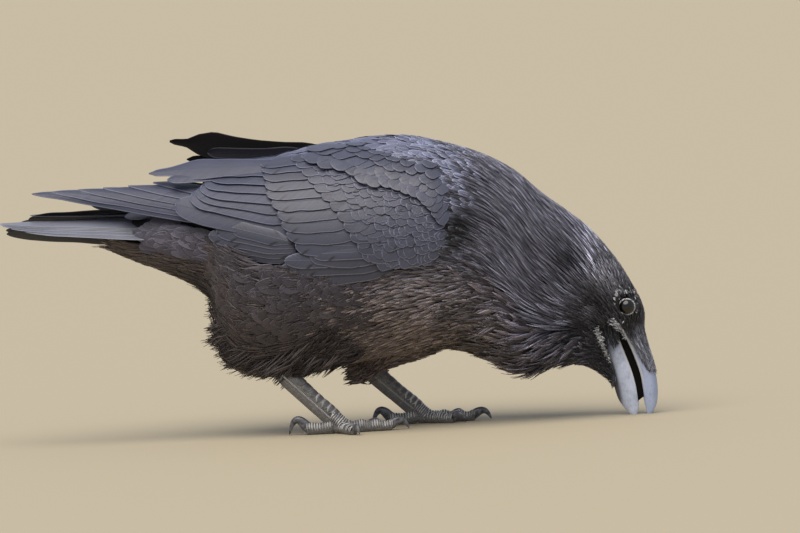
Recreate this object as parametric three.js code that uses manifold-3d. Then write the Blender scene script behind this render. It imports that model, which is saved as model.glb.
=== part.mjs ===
// A life-size common raven (Corvus corax) that stands on both feet and bends down to peck at the floor.
//
// Units are millimetres. +X points forward, +Y to the bird's left and +Z up. The floor is z = 0, and the
// group's origin is on the floor under the middle of the bird's box. The shapes are those of the plumage: each
// solid reaches out to the tips of its feathers. A gap of 0.3 mm parts each solid from its neighbours.

import * as THREE from 'three';
import { LoftGeometry } from 'three/addons/geometries/LoftGeometry.js';
import { mergeGeometries, mergeVertices } from 'three/addons/utils/BufferGeometryUtils.js';
import Module from 'manifold-3d';

const wasm = await Module();
wasm.setup();

// ---------------------------------------------------------------- driving dimensions

const GAP = 0.3; // between two solids that meet
const CLEAR = 0.5; // between curved feathers, so that the gap holds where their facets differ
const FAR = 900; // the side of a box that is larger than the bird
const RIGHT = -1;
const LEFT = 1;

// The body from the tail coverts to the forehead. top and bottom are the x and z of the outline in the
// middle plane, wide is the half-width, and level is how far up from bottom to top the widest line lies.
const BODY = [
  { top: [-204, 199], bottom: [-206, 173], wide: 15, level: 0.5 }, // tips of the tail coverts
  { top: [-172, 203], bottom: [-172, 157], wide: 26, level: 0.5 },
  { top: [-140, 210], bottom: [-138, 142], wide: 38, level: 0.5 }, // rump and vent
  { top: [-112, 219], bottom: [-112, 122], wide: 49, level: 0.5 },
  { top: [-84, 230], bottom: [-108, 92], wide: 60, level: 0.48 }, // back of the belly
  { top: [-56, 240], bottom: [-99, 65], wide: 67, level: 0.47 },
  { top: [-22, 250], bottom: [-76, 52], wide: 72, level: 0.47 },
  { top: [20, 255], bottom: [-36, 52], wide: 75, level: 0.47 }, // middle of the back
  { top: [62, 257], bottom: [18, 60], wide: 76, level: 0.47 },
  { top: [98, 249], bottom: [66, 66], wide: 74, level: 0.47 }, // shoulders
  { top: [132, 237], bottom: [100, 67], wide: 68, level: 0.46 },
  { top: [160, 221], bottom: [126, 57], wide: 61, level: 0.46 }, // foot of the neck
  { top: [184, 199], bottom: [146, 45], wide: 54, level: 0.46 },
  { top: [203, 184], bottom: [162, 41.5], wide: 48, level: 0.47 }, // neck
  { top: [222, 168], bottom: [175, 43], wide: 42, level: 0.49 },
  { top: [239, 148], bottom: [187, 46], wide: 36, level: 0.53 }, // back of the head
  { top: [250, 132], bottom: [197, 47], wide: 31.5, level: 0.57 },
  { top: [258.5, 116], bottom: [206, 47], wide: 28, level: 0.6 },
  { top: [265, 103], bottom: [214, 45], wide: 25, level: 0.62 }, // eyes
  { top: [268.5, 90], bottom: [223, 40], wide: 18.5, level: 0.6 },
  { top: [268, 80], bottom: [231, 33], wide: 13.5, level: 0.55 }, // forehead
  { top: [267, 72], bottom: [238, 25], wide: 10.5, level: 0.5 }, // end of the chin
];
const NECK_FROM = 11; // the stations where the neck starts and ends
const NECK_TO = 15;

// The folded wing lies on this hull, given as half ellipses across the body: the height of the middle, and
// the half-width and height of the ellipse above it. An angle of 0 on it is the bird's side, and 90 the back.
const HULL = [
  { x: -270, mid: 221, wide: 20, tall: 14 },
  { x: -220, mid: 214, wide: 28, tall: 23 },
  { x: -160, mid: 199, wide: 43, tall: 39 },
  { x: -100, mid: 182, wide: 61, tall: 61 },
  { x: -40, mid: 166, wide: 76, tall: 84 },
  { x: 20, mid: 161, wide: 83, tall: 93 },
  { x: 80, mid: 163, wide: 77, tall: 87 },
  { x: 116, mid: 168, wide: 64, tall: 72 },
];
const WING_STACK = 14; // from the wing's outside to the body under it

// The covered fore part of the wing: its reach along the hull and its lower and upper angle.
const SHELL = [
  { x: -66, low: 26, high: 80 },
  { x: -54, low: 6, high: 79 },
  { x: -40, low: -3, high: 78 },
  { x: -15, low: -6, high: 76 },
  { x: 30, low: -7, high: 74 },
  { x: 62, low: -7, high: 70 },
  { x: 84, low: -7, high: 58 },
  { x: 97, low: -5, high: 40 },
  { x: 104, low: 0, high: 24 },
];
const SHELL_DEPTH = 7;
// The recess of the body under the wing.
const RECESS = [
  { x: -215, low: 4, high: 88 },
  { x: -160, low: -8, high: 88 },
  { x: -112, low: -22, high: 88 },
  { x: -60, low: -26, high: 88 },
  { x: 20, low: -26, high: 86 },
  { x: 54, low: -22, high: 80 },
  { x: 76, low: -11, high: 72 },
  { x: 95, low: -7, high: 47 },
  { x: 107, low: -2, high: 27 },
];
const RECESS_REACH = 40; // how far it extends outside of the wing

// Rows of feathers on the hull. from and to hold the x and angle of the first and last root, and tips the x
// and angle of each tip. edge is the half-width of the outer vanes in degrees at the root and at the tip, and
// lift the height of the first and last feather over the hull.
const SECONDARIES = {
  from: [-44, 6], to: [-52, 64], edge: [8, 7], lift: [-4.6, -2.6],
  tips: [[-118, 12], [-134, 22], [-144, 34], [-142, 46], [-138, 58], [-132, 70]],
};
const PRIMARIES = {
  from: [-62, 4], to: [-62, 26], edge: [8, 12], lift: [-12, -9],
  tips: [[-186, 16], [-222, 24], [-260, 34], [-243, 44], [-222, 50], [-200, 56], [-178, 61], [-156, 66]],
};
const PRIMARY_COVERTS = {
  from: [-34, -8], to: [-38, 2], edge: [4, 4], lift: [-5, -4],
  tips: [[-88, -14], [-105, -9], [-100, -2]],
};
const ALULA = {
  from: [50, -13], to: [48, -4], edge: [3, 4], lift: [-4, -3],
  tips: [[-28, -20], [-46, -15], [-38, -8]],
};
const FAN_STEPS = [0, 0.35, 0.7, 0.9, 1];
const VANE_THICKNESS = 1.3;
const SHAFT_RISE = 0.7; // how far the middle of a feather stands over its edges
const BLADE_THICKNESS = 1.4;

// The tertials stand up from the back. Each is [root, tip], with the side that its vane faces.
const TERTIALS = {
  right: {
    roots: [[-40, 36, 236], [-40, 44, 229]], tips: [[-158, 22, 237], [-146, 34, 227]], lean: 42, width: 29,
  },
  left: {
    roots: [[-10, 30, 236], [-16, 40, 230]], tips: [[-141, 33, 262], [-118, 43, 250]], lean: 70, width: 27,
  },
};

// The tail: twelve feathers. The right half slopes down from the middle, and the left half rises a little.
// The x of the tips goes from the outer feather of one side to the outer one of the other.
const TAIL_TIPS = [-248, -266, -278, -285, -289, -291, -291, -289, -285, -278, -266, -248];
const TAIL = { root_x: -128, root_z: 192, tip_z: 198, half_root: 14, half_tip: 38 };
const TAIL_DROP = { [RIGHT]: 17, [LEFT]: -5 };

// Head: bill, eyes.
const EYE = { x: 253.5, y: 18.6, z: 96.5, radius: 7.4 };
// Upper bill: x of the culmen and of the cutting edge at each height, and the half-width there.
const UPPER_BILL = [
  { z: 84, culmen: 262, edge: 241, wide: 12.5, tilt: 6 },
  { z: 72, culmen: 263, edge: 248.5, wide: 12, tilt: 5 },
  { z: 60, culmen: 266.5, edge: 254.2, wide: 11, tilt: 4 },
  { z: 47, culmen: 271.5, edge: 259, wide: 9.8, tilt: 3 },
  { z: 34, culmen: 275.8, edge: 262.8, wide: 8.4, tilt: 2 },
  { z: 21, culmen: 276.8, edge: 264.3, wide: 6.6, tilt: 1 },
  { z: 10, culmen: 275.6, edge: 265.2, wide: 4.4, tilt: 0 },
  { z: 3, culmen: 272.6, edge: 266, wide: 2.6, tilt: 0 },
  { z: -1, culmen: 269.8, edge: 266.6, wide: 1.3, tilt: 0 },
];
const LOWER_BILL = [
  { z: 80, culmen: 243, edge: 229, wide: 11.5, tilt: 6 },
  { z: 68, culmen: 245.6, edge: 230, wide: 11.2, tilt: 5 },
  { z: 54, culmen: 250.2, edge: 233.4, wide: 10.2, tilt: 4 },
  { z: 40, culmen: 254, edge: 236.6, wide: 8.8, tilt: 3 },
  { z: 27, culmen: 256.4, edge: 238.4, wide: 7.2, tilt: 1 },
  { z: 14, culmen: 257.8, edge: 241.8, wide: 5.2, tilt: 0 },
  { z: 5, culmen: 257.8, edge: 247.6, wide: 3.4, tilt: 0 },
  { z: -1, culmen: 257, edge: 252.4, wide: 1.6, tilt: 0 },
];
// The bare bill shows in this outline, in x and z, where the feathers of the face leave it free.
const BARE_BILL = [
  [227, 76], [240, 84.5], [247, 79], [254, 66], [260, 52.5], [266.5, 41.5],
  [283, 38], [283, -5], [245, -5], [239, 25], [235.5, 42], [231, 58],
];
const BRISTLE_DEPTH = 2.6; // the bristles over the base of the upper bill
const BRISTLE_END_Z = 41;

// Legs. ankle is the heel joint, hub the joint of the toes.
const LEGS = {
  right: {
    side: RIGHT, hip: [-14, 36, 92], ankle: [-51, 36, 55], hub: [-4, 36, 6.2],
    toes: { middle: 4, inner: 34, outer: -68, hind: 178 },
  },
  left: {
    side: LEFT, hip: [62, 33, 92], ankle: [23, 33, 51], hub: [69, 33, 6.2],
    toes: { middle: 2, inner: 32, outer: -34, hind: 176 },
  },
};
const TOES = {
  middle: { length: 46, radius: 5.2, joints: 3, claw: 16, claw_rise: 4.6 },
  inner: { length: 32, radius: 4.8, joints: 2, claw: 14, claw_rise: 4 },
  outer: { length: 34, radius: 4.6, joints: 3, claw: 13, claw_rise: 3.6 },
  hind: { length: 29, radius: 5.8, joints: 1, claw: 17, claw_rise: 9 },
};
const HUB_RADIUS = 7.4;
const SHANK = [[-0.08, 6.6], [0.12, 7.6], [0.5, 7], [0.8, 8], [0.97, 7.2]]; // share of the way down, radius
const SHANK_FLATNESS = 0.66; // its width over its depth
const THIGH = [[0, 38], [0.35, 28], [0.65, 17], [0.94, 9.6]];

// ---------------------------------------------------------------- small tools

const point = (x, y, z) => new THREE.Vector3(x, y, z);
const mix = (a, b, t) => a + (b - a) * t;
const radians = THREE.MathUtils.degToRad;

// The value of key at x on stations sorted by x, as a smooth curve.
function smooth(stations, x, key, by = 'x') {
  const last = stations.length - 1;
  let i = 0;
  while (i < last - 1 && x > stations[i + 1][by]) i++;
  const slope = (j) => {
    const a = stations[Math.max(j - 1, 0)];
    const b = stations[Math.min(j + 1, last)];
    return (b[key] - a[key]) / (b[by] - a[by]);
  };
  const p = stations[i];
  const q = stations[i + 1];
  const span = q[by] - p[by];
  const t = THREE.MathUtils.clamp((x - p[by]) / span, 0, 1);
  return p[key] * (1 + 2 * t) * (1 - t) ** 2 + slope(i) * span * t * (1 - t) ** 2
    + q[key] * t * t * (3 - 2 * t) + slope(i + 1) * span * t * t * (t - 1);
}

// A three.js geometry as a manifold-3d solid.
function solidOf(geometry) {
  const bare = new THREE.BufferGeometry().copy(geometry);
  bare.deleteAttribute('normal');
  bare.deleteAttribute('uv');
  const merged = mergeVertices(bare, 1e-4);
  return new wasm.Manifold(new wasm.Mesh({
    numProp: 3,
    vertProperties: merged.attributes.position.array,
    triVerts: new Uint32Array(merged.index.array),
  }));
}

// The end of a loft: its ring closed from side to side, as a ladder between the points i and last - i.
function ladder(ring) {
  const last = ring.length - 1;
  const corners = [];
  for (let i = 0; i + 1 < last - i; i++) {
    corners.push(ring[i], ring[i + 1], ring[last - i]);
    if (i + 1 < last - 1 - i) corners.push(ring[i + 1], ring[last - 1 - i], ring[last - i]);
  }
  return new THREE.BufferGeometry().setFromPoints(corners);
}

// A closed solid skinned over rings of points, wound so that its faces point out.
function loft(rings) {
  const middleOf = (ring) => ring.reduce((a, b) => a.clone().add(b)).divideScalar(ring.length);
  const middle = middleOf(rings[0]);
  const turn = rings[0].reduce((sum, p, i, ring) => {
    const q = ring[(i + 1) % ring.length];
    return sum.add(p.clone().sub(middle).cross(q.clone().sub(middle)));
  }, point(0, 0, 0));
  const ahead = middleOf(rings[1]).sub(middle);
  const wound = turn.dot(ahead) > 0 ? rings : rings.map((ring) => [...ring].reverse());
  const walls = new LoftGeometry(wound).toNonIndexed();
  walls.deleteAttribute('normal');
  walls.deleteAttribute('uv');
  const ends = [ladder([...wound[0]].reverse()), ladder(wound[wound.length - 1])];
  return solidOf(mergeGeometries([walls, ...ends]));
}

// The largest body of a solid: cuts can leave slivers beside it.
function largest(solid) {
  return solid.decompose().reduce((a, b) => (b.volume() > a.volume() ? b : a));
}

function box(width, depth, height, matrix) {
  return solidOf(new THREE.BoxGeometry(width, depth, height).applyMatrix4(matrix));
}

const below_floor = box(FAR, FAR, FAR, new THREE.Matrix4().makeTranslation(0, 0, -FAR / 2));

const feather_finish = new THREE.MeshStandardMaterial({ color: '#1f1f26', roughness: 0.5, metalness: 0 });
const horn_finish = new THREE.MeshStandardMaterial({ color: '#80848f', roughness: 0.4, metalness: 0 });
const scale_finish = new THREE.MeshStandardMaterial({ color: '#3b3c42', roughness: 0.6, metalness: 0 });
const claw_finish = new THREE.MeshStandardMaterial({ color: '#2c2c30', roughness: 0.4, metalness: 0 });
const eye_finish = new THREE.MeshStandardMaterial({ color: '#120d0b', roughness: 0.1, metalness: 0 });

function meshOf(name, solid, material) {
  const made = largest(solid).getMesh();
  const vertices = new Float32Array(made.numVert * 3);
  for (let i = 0; i < made.numVert; i++) {
    vertices.set(made.vertProperties.subarray(i * made.numProp, i * made.numProp + 3), i * 3);
  }
  const geometry = new THREE.BufferGeometry();
  geometry.setAttribute('position', new THREE.BufferAttribute(vertices, 3));
  geometry.setIndex(new THREE.BufferAttribute(made.triVerts, 1));
  geometry.computeVertexNormals();
  const mesh = new THREE.Mesh(geometry, material);
  mesh.name = name;
  return mesh;
}

// ---------------------------------------------------------------- body

const BODY_RINGS = 32;
const BODY_SIDES = 18;
const curveThrough = (points) => new THREE.CatmullRomCurve3(points, false, 'catmullrom');
const body_top = curveThrough(BODY.map((s) => point(s.top[0], s.wide, s.top[1])));
const body_bottom = curveThrough(BODY.map((s) => point(s.bottom[0], s.level, s.bottom[1])));

// The body's station t, from 0 at the tail to 1 at the bill.
function bodyStation(t) {
  const a = body_top.getPoint(t);
  const b = body_bottom.getPoint(t);
  const top = point(a.x, 0, a.z);
  const bottom = point(b.x, 0, b.z);
  return { top, bottom, wide: a.y, middle: bottom.clone().lerp(top, b.y) };
}

function bodyRing(t) {
  const { top, bottom, wide, middle } = bodyStation(t);
  return Array.from({ length: BODY_SIDES }, (_, k) => {
    const angle = (k / BODY_SIDES) * Math.PI * 2;
    const end = Math.sin(angle) > 0 ? top : bottom;
    const spot = middle.clone().lerp(end, Math.abs(Math.sin(angle)));
    spot.y = wide * Math.cos(angle);
    return spot;
  });
}

// The box on one side of the body's station, to cut with. ahead is 1 for the side of the bill.
function halfAt(station, ahead) {
  const { top, bottom } = bodyStation(station / (BODY.length - 1));
  const up = top.clone().sub(bottom).normalize();
  const forward = point(up.z, 0, -up.x);
  const middle = top.clone().lerp(bottom, 0.5).addScaledVector(forward, ahead * (FAR / 2 + GAP / 2));
  const matrix = new THREE.Matrix4().makeBasis(forward, point(0, 1, 0), up).setPosition(middle);
  return box(FAR, FAR, FAR, matrix);
}

const body = loft(Array.from({ length: BODY_RINGS + 1 }, (_, i) => bodyRing(i / BODY_RINGS)));

// ---------------------------------------------------------------- wings

// A point of the hull at x and an angle in degrees, lifted off it.
function hullPoint(x, angle, lift, side) {
  const wide = smooth(HULL, x, 'wide') + lift;
  const tall = smooth(HULL, x, 'tall') + lift;
  const a = radians(angle);
  return point(x, side * wide * Math.cos(a), smooth(HULL, x, 'mid') + tall * Math.sin(a));
}

const ARC_STEPS = 6;

// A curved plate on the hull between two angles, from lift 0 down to a depth that thins out to its edges.
function hullRing(x, from, to, depth, side, edge, grow) {
  const arc = Array.from({ length: ARC_STEPS + 1 }, (_, k) => k / ARC_STEPS);
  const swell = (u) => edge + (1 - edge) * Math.sin(Math.PI * u);
  const outside = arc.map((u) => hullPoint(x, mix(from, to, u), grow, side));
  const inside = arc.map((u) => hullPoint(x, mix(from, to, u), -depth * swell(u) - grow, side));
  return [...outside, ...inside.reverse()];
}

function wingShell(side, grow = 0) {
  const spread = (grow / 80) * (180 / Math.PI);
  return loft(SHELL.map((s, i) => {
    const end = i === 0 ? -grow : i === SHELL.length - 1 ? grow : 0;
    return hullRing(s.x + end, s.low - spread, s.high + spread, SHELL_DEPTH, side, 0.3, grow);
  }));
}

// The recess in the body that holds the wing.
function wingRecess(side) {
  return loft(RECESS.map((s) => {
    const outside = hullRing(s.x, s.low, s.high, 0, side, 1, RECESS_REACH).slice(0, ARC_STEPS + 1);
    const inside = hullRing(s.x, s.low, s.high, WING_STACK + GAP, side, 1, 0).slice(ARC_STEPS + 1);
    return [...outside, ...inside];
  }));
}

// The outline of a feather's vane: the share of its width at t, from root to tip. It narrows beyond blunt.
function vane(t, blunt) {
  const beyond = (Math.max(t, blunt) - blunt) / (1 - blunt);
  return Math.min(1, 0.35 + 3 * t) * Math.max(0.12, 1 - 0.9 * beyond ** 2.6);
}

const BLADE_STEPS = 4;

// A thin blade. at(t, across, lift) gives its points along its length, over its width and through it.
function blade(at, width, blunt, grow) {
  const over = BLADE_THICKNESS / 2 + grow;
  return loft(Array.from({ length: BLADE_STEPS + 1 }, (_, i) => {
    const t = (i / BLADE_STEPS) ** 0.8;
    const reach = t + (i === BLADE_STEPS ? grow : i === 0 ? -grow : 0) / 100;
    const half = (width / 2) * vane(t, blunt) + grow;
    return [[-half, over], [0, over], [half, over], [half, -over], [0, -over], [-half, -over]]
      .map(([across, lift]) => at(reach, across, lift));
  }));
}

// A row of feathers as one plate with the stepped outline of their tips. Each feather is a low ridge. roots
// and tips hold [x, across] for each, and place(x, across, lift, u) gives the points, with u from 0 to 1 over
// the row.
function fan(roots, tips, edge, place, grow = 0) {
  const last = tips.length - 1;
  const half_way = (a, b) => [(a[0] + b[0]) / 2, (a[1] + b[1]) / 2];
  const columns = tips.flatMap((tip, i) => {
    const middle = { root: roots[i], tip: [tip[0] - grow, tip[1]], rise: SHAFT_RISE, u: i / last };
    if (i === last) return [middle];
    const between = half_way(tip, tips[i + 1]);
    between[0] = Math.max(tip[0], tips[i + 1][0]) - grow;
    return [middle, { root: half_way(roots[i], roots[i + 1]), tip: between, rise: 0, u: (i + 0.5) / last }];
  });
  const side = (i, sign) => ({
    root: [roots[i][0], roots[i][1] + sign * (edge[0] + grow)],
    tip: [mix(roots[i][0], tips[i][0], 0.86), tips[i][1] + sign * (edge[1] + grow)],
    rise: 0,
    u: i / last,
  });
  const outward = Math.sign(tips[last][1] - tips[0][1]);
  const all = [side(0, -outward), ...columns, side(last, outward)];
  return loft(FAN_STEPS.map((t) => {
    const half = (VANE_THICKNESS / 2) * mix(1, 0.62, t) + grow;
    const at = (c, lift) => place(mix(c.root[0], c.tip[0], t), mix(c.root[1], c.tip[1], t), lift, c.u);
    return [...all.map((c) => at(c, c.rise + half)), ...all.map((c) => at(c, -half)).reverse()];
  }));
}

function wingRow(row, side, grow = 0) {
  const last = row.tips.length - 1;
  const roots = row.tips.map((_, i) => row.from.map((start, k) => mix(start, row.to[k], i / last)));
  const place = (x, angle, lift, u) => hullPoint(x, angle, mix(row.lift[0], row.lift[1], u) + lift, side);
  return fan(roots, row.tips, row.edge, place, grow);
}

// Feathers that stand free of the hull, straight from root to tip, with their vanes at an angle to the level.
function freeBlades(set, side, grow = 0) {
  const across_way = point(0, -side * Math.cos(radians(set.lean)), Math.sin(radians(set.lean)));
  const over_way = point(0, side * Math.sin(radians(set.lean)), Math.cos(radians(set.lean)));
  return set.roots.map((root, i) => {
    const a = point(root[0], side * root[1], root[2]);
    const b = point(set.tips[i][0], side * set.tips[i][1], set.tips[i][2]);
    const at = (t, across, over) => a.clone().lerp(b, t)
      .addScaledVector(across_way, across).addScaledVector(over_way, over);
    return blade(at, set.width, 0.45, grow);
  }).reduce((p, q) => p.add(q));
}

function wing(name, side) {
  const set = TERTIALS[name];
  const over = wingShell(side, CLEAR);
  const parts = { coverts: wingShell(side), alula: wingRow(ALULA, side).subtract(over) };
  const under_alula = over.add(wingRow(ALULA, side, CLEAR));
  parts.primary_coverts = wingRow(PRIMARY_COVERTS, side).subtract(under_alula);
  parts.secondaries = wingRow(SECONDARIES, side).subtract(under_alula)
    .subtract(wingRow(PRIMARY_COVERTS, side, CLEAR));
  parts.tertials = freeBlades(set, side).subtract(over).subtract(wingRow(SECONDARIES, side, CLEAR));
  parts.primaries = wingRow(PRIMARIES, side).subtract(over).subtract(wingRow(SECONDARIES, side, CLEAR));
  const group = new THREE.Group();
  for (const [part, solid] of Object.entries(parts)) {
    group.add(meshOf(`wing_${name}_${part}`, solid, feather_finish));
  }
  return group;
}

// ---------------------------------------------------------------- tail

// The tail's height at x and y.
function tailHeight(x, y) {
  const t = (x - TAIL.root_x) / (TAIL_TIPS[5] - TAIL.root_x);
  const half = mix(TAIL.half_root, TAIL.half_tip, t);
  const drop = (TAIL_DROP[Math.sign(y)] ?? 0) * mix(0.5, 1, t) * Math.abs(y / half);
  return mix(TAIL.root_z, TAIL.tip_z, t) - drop;
}

function tailFan() {
  const spread = TAIL_TIPS.map((_, i) => (i - 5.5) / 6);
  const roots = spread.map((u) => [TAIL.root_x, u * TAIL.half_root]);
  const tips = TAIL_TIPS.map((x, i) => [x, spread[i] * TAIL.half_tip]);
  return fan(roots, tips, [2, 3], (x, y, lift) => point(x, y, tailHeight(x, y) + lift));
}

// The slot for the tail in the body: a thick sheet round the tail's own shape.
function tailSlot() {
  return loft([TAIL.root_x + GAP, -215].map((x) => {
    const half = x < -200 ? 34 : TAIL.half_root + 3 + GAP;
    const across = [-half, -half / 2, 0, half / 2, half];
    return [...across.map((y) => point(x, y, tailHeight(x, y) + 2)),
      ...across.reverse().map((y) => point(x, y, tailHeight(x, y) - 1.2))];
  }));
}

// ---------------------------------------------------------------- bill

const BILL_SIDES = 10;

// A ring of one half of the bill at a height. ridge is the side of the keel: 1 at the culmen, -1 at the gonys.
function billRing(s, ridge, grow) {
  const middle = (s.culmen + s.edge) / 2;
  const deep = (s.culmen - s.edge) / 2 + grow;
  return Array.from({ length: BILL_SIDES }, (_, k) => {
    const a = (k / BILL_SIDES) * Math.PI * 2;
    const keel = Math.cos(a) * ridge > 0 ? 1 - 0.3 * Math.abs(Math.cos(a)) ** 3 : 1;
    const flat = Math.sign(Math.sin(a)) * Math.abs(Math.sin(a)) ** 0.75;
    const x = middle + deep * Math.sign(Math.cos(a)) * Math.abs(Math.cos(a)) ** 0.85;
    return point(x, (s.wide + grow) * flat * keel, s.z + (x - middle) * Math.sin(radians(s.tilt)) * 2);
  });
}

function bill(stations, ridge, grow = 0) {
  return loft(stations.map((s) => billRing(s, ridge, grow)));
}

// The bristles: a pad over the culmen and the sides of the upper bill, thinner towards its end.
function bristles(grow = 0) {
  const from_tip = [...UPPER_BILL].reverse();
  const heights = UPPER_BILL.map((s) => s.z).filter((z) => z > BRISTLE_END_Z);
  return loft([...heights, BRISTLE_END_Z].map((z, i) => {
    const [culmen, edge, wide] = ['culmen', 'edge', 'wide'].map((key) => smooth(from_tip, z, key, 'z'));
    const depth = BRISTLE_DEPTH * mix(1, 0.4, i / heights.length) + grow;
    const ring = { z, tilt: 0, culmen: culmen + depth, wide: wide + depth * 0.3 };
    return billRing({ ...ring, edge: mix(edge, culmen, 0.12 + 0.1 * i) }, 1, 0);
  }));
}

// ---------------------------------------------------------------- legs

function tube(stations, sides, clamp_floor) {
  return loft(stations.map(({ at, along, radius, flat }) => {
    const side_way = point(-along.y, along.x, 0);
    if (side_way.length() < 1e-6) side_way.set(0, 1, 0);
    side_way.normalize();
    const up_way = along.clone().cross(side_way).multiplyScalar(-1).normalize();
    return Array.from({ length: sides }, (_, k) => {
      const a = ((k + 0.5) / sides) * Math.PI * 2;
      const spot = at.clone().addScaledVector(side_way, radius * flat * Math.cos(a))
        .addScaledVector(up_way, radius * Math.sin(a));
      if (clamp_floor) spot.z = Math.max(spot.z, 0);
      return spot;
    });
  }));
}

const TOE_STEPS = 5;

// A toe: thick at its joints, with a flat sole on the floor. It starts at the side of the hub.
function toe(hub, heading, size, grow = 0) {
  const way = point(Math.cos(heading), Math.sin(heading), 0);
  return tube(Array.from({ length: TOE_STEPS + 1 }, (_, i) => {
    const t = i / TOE_STEPS;
    const joint = 1 + 0.1 * Math.cos(Math.PI * 2 * t * size.joints);
    const radius = size.radius * mix(1.06, 0.86, t) * joint * (i === TOE_STEPS ? 0.75 : 1);
    const reach = mix(HUB_RADIUS - 1.4, size.length, t) + (i === TOE_STEPS ? grow : 0);
    const at = point(hub.x, hub.y, 0).addScaledVector(way, reach).setZ(radius - 0.6);
    return { at, along: way, radius: radius + grow, flat: 0.92 };
  }), 8, grow === 0);
}

const CLAW_STEPS = 4;
const CLAW_TURN = 1.2; // radians of its arc to the tip

// A claw: a curved horn from the end of a toe up, over and down to just above the floor.
function claw(hub, heading, size) {
  const way = point(Math.cos(heading), Math.sin(heading), 0);
  const start = point(hub.x, hub.y, 0).addScaledVector(way, size.length + GAP);
  const base = size.radius * 0.95;
  const tip = 1.1;
  return tube(Array.from({ length: CLAW_STEPS + 1 }, (_, i) => {
    const t = i / CLAW_STEPS;
    const reach = (size.claw * Math.sin(t * CLAW_TURN)) / Math.sin(CLAW_TURN);
    const at = start.clone().addScaledVector(way, reach);
    at.z = mix(base, tip, t * t) + size.claw_rise * Math.sin(Math.PI * t);
    const fall = (size.claw_rise * Math.PI * Math.cos(Math.PI * t) - 2 * (base - tip) * t) / size.claw;
    const along = i === 0 ? way : way.clone().setZ(fall).normalize();
    return { at, along, radius: mix(size.radius * 0.62, 0.6, t), flat: 0.72 };
  }), 6, false);
}

const legPoint = (name, key) => {
  const [x, y, z] = LEGS[name][key];
  return point(x, LEGS[name].side * y, z);
};

// The bare shank, from inside the thigh's feathers to the ball of the foot.
function shankAndHub(name, grow = 0) {
  const ankle = legPoint(name, 'ankle');
  const hub = legPoint(name, 'hub');
  const shin = hub.clone().sub(ankle).normalize();
  const shank = tube(SHANK.map(([t, radius]) => ({
    at: ankle.clone().lerp(hub, t), along: shin, radius: radius + grow, flat: SHANK_FLATNESS,
  })), 8, false);
  const ball = tube([-1, -0.6, -0.2, 0.2, 0.6, 1].map((u) => ({
    at: point(hub.x + u * (HUB_RADIUS + grow), hub.y, hub.z), along: point(1, 0, 0),
    radius: Math.max((HUB_RADIUS + grow) * Math.sqrt(1.04 - u * u), 1), flat: 1,
  })), 8, grow === 0);
  return shank.add(ball);
}

function leg(name) {
  const { side, toes } = LEGS[name];
  const group = new THREE.Group();
  const hip = legPoint(name, 'hip');
  const ankle = legPoint(name, 'ankle');
  const hub = legPoint(name, 'hub');
  const down = ankle.clone().sub(hip).normalize();
  const thigh = tube(THIGH.map(([t, radius]) => ({
    at: hip.clone().lerp(ankle, t), along: down, radius, flat: 0.62,
  })), 12, false);
  let taken = shankAndHub(name, GAP);
  group.add(meshOf(`thigh_${name}`, thigh.subtract(body).subtract(taken), feather_finish));
  group.add(meshOf(`shank_${name}`, shankAndHub(name).subtract(below_floor), scale_finish));
  for (const [which, size] of Object.entries(TOES)) {
    // Angles are measured from straight ahead, positive towards the other leg.
    const heading = radians(-side * toes[which]);
    const solid = toe(hub, heading, size).subtract(taken).subtract(below_floor);
    taken = taken.add(toe(hub, heading, size, GAP));
    group.add(meshOf(`toe_${name}_${which}`, solid, scale_finish));
    group.add(meshOf(`claw_${name}_${which}`, claw(hub, heading, size), claw_finish));
  }
  return group;
}

// ---------------------------------------------------------------- assembly

const raven = new THREE.Group();

const eyeball = (side, grow = 0) => solidOf(new THREE.SphereGeometry(EYE.radius + grow, 12, 8)
  .translate(EYE.x, side * EYE.y, EYE.z));
const upper_bill = bill(UPPER_BILL, 1).subtract(below_floor);
const lower_bill = bill(LOWER_BILL, -1).subtract(below_floor).subtract(bill(UPPER_BILL, 1, GAP));
const wings_away = (solid) => solid.subtract(wingRecess(RIGHT)).subtract(wingRecess(LEFT));

const trunk = wings_away(body.intersect(halfAt(NECK_FROM, -1))).subtract(tailSlot())
  .subtract(shankAndHub('right', GAP)).subtract(shankAndHub('left', GAP));
const neck = body.intersect(halfAt(NECK_FROM, 1)).intersect(halfAt(NECK_TO, -1));
const face = new THREE.Shape(BARE_BILL.map(([x, z]) => new THREE.Vector2(x, z)));
const bare = solidOf(new THREE.ExtrudeGeometry(face, { depth: FAR, bevelEnabled: false })
  .rotateX(Math.PI / 2).translate(0, FAR / 2, 0));
const both_bills = bill(UPPER_BILL, 1, GAP).add(bill(LOWER_BILL, -1, GAP));
const bills_away = (solid) => solid.subtract(bare).subtract(both_bills);
const whole_head = body.intersect(halfAt(NECK_TO, 1));
const head = bills_away(whole_head.subtract(eyeball(RIGHT, GAP)).subtract(eyeball(LEFT, GAP)));
const bristle_pad = bills_away(bristles()).subtract(whole_head);

raven.add(meshOf('trunk', trunk, feather_finish));
raven.add(meshOf('neck', neck, feather_finish));
raven.add(meshOf('head', head, feather_finish));
raven.add(meshOf('bill_upper', upper_bill, horn_finish));
raven.add(meshOf('bill_lower', lower_bill, horn_finish));
raven.add(meshOf('nasal_bristles', bristle_pad, feather_finish));
raven.add(meshOf('eye_right', eyeball(RIGHT), eye_finish));
raven.add(meshOf('eye_left', eyeball(LEFT), eye_finish));
raven.add(meshOf('tail', tailFan(), feather_finish));
raven.add(wing('right', RIGHT));
raven.add(wing('left', LEFT));
raven.add(leg('right'));
raven.add(leg('left'));

// The origin goes to the floor under the middle of the bird's box.
const size_box = new THREE.Box3().setFromObject(raven);
const centre = size_box.getCenter(new THREE.Vector3());
raven.position.set(-centre.x, -centre.y, 0);

export default raven;
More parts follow.
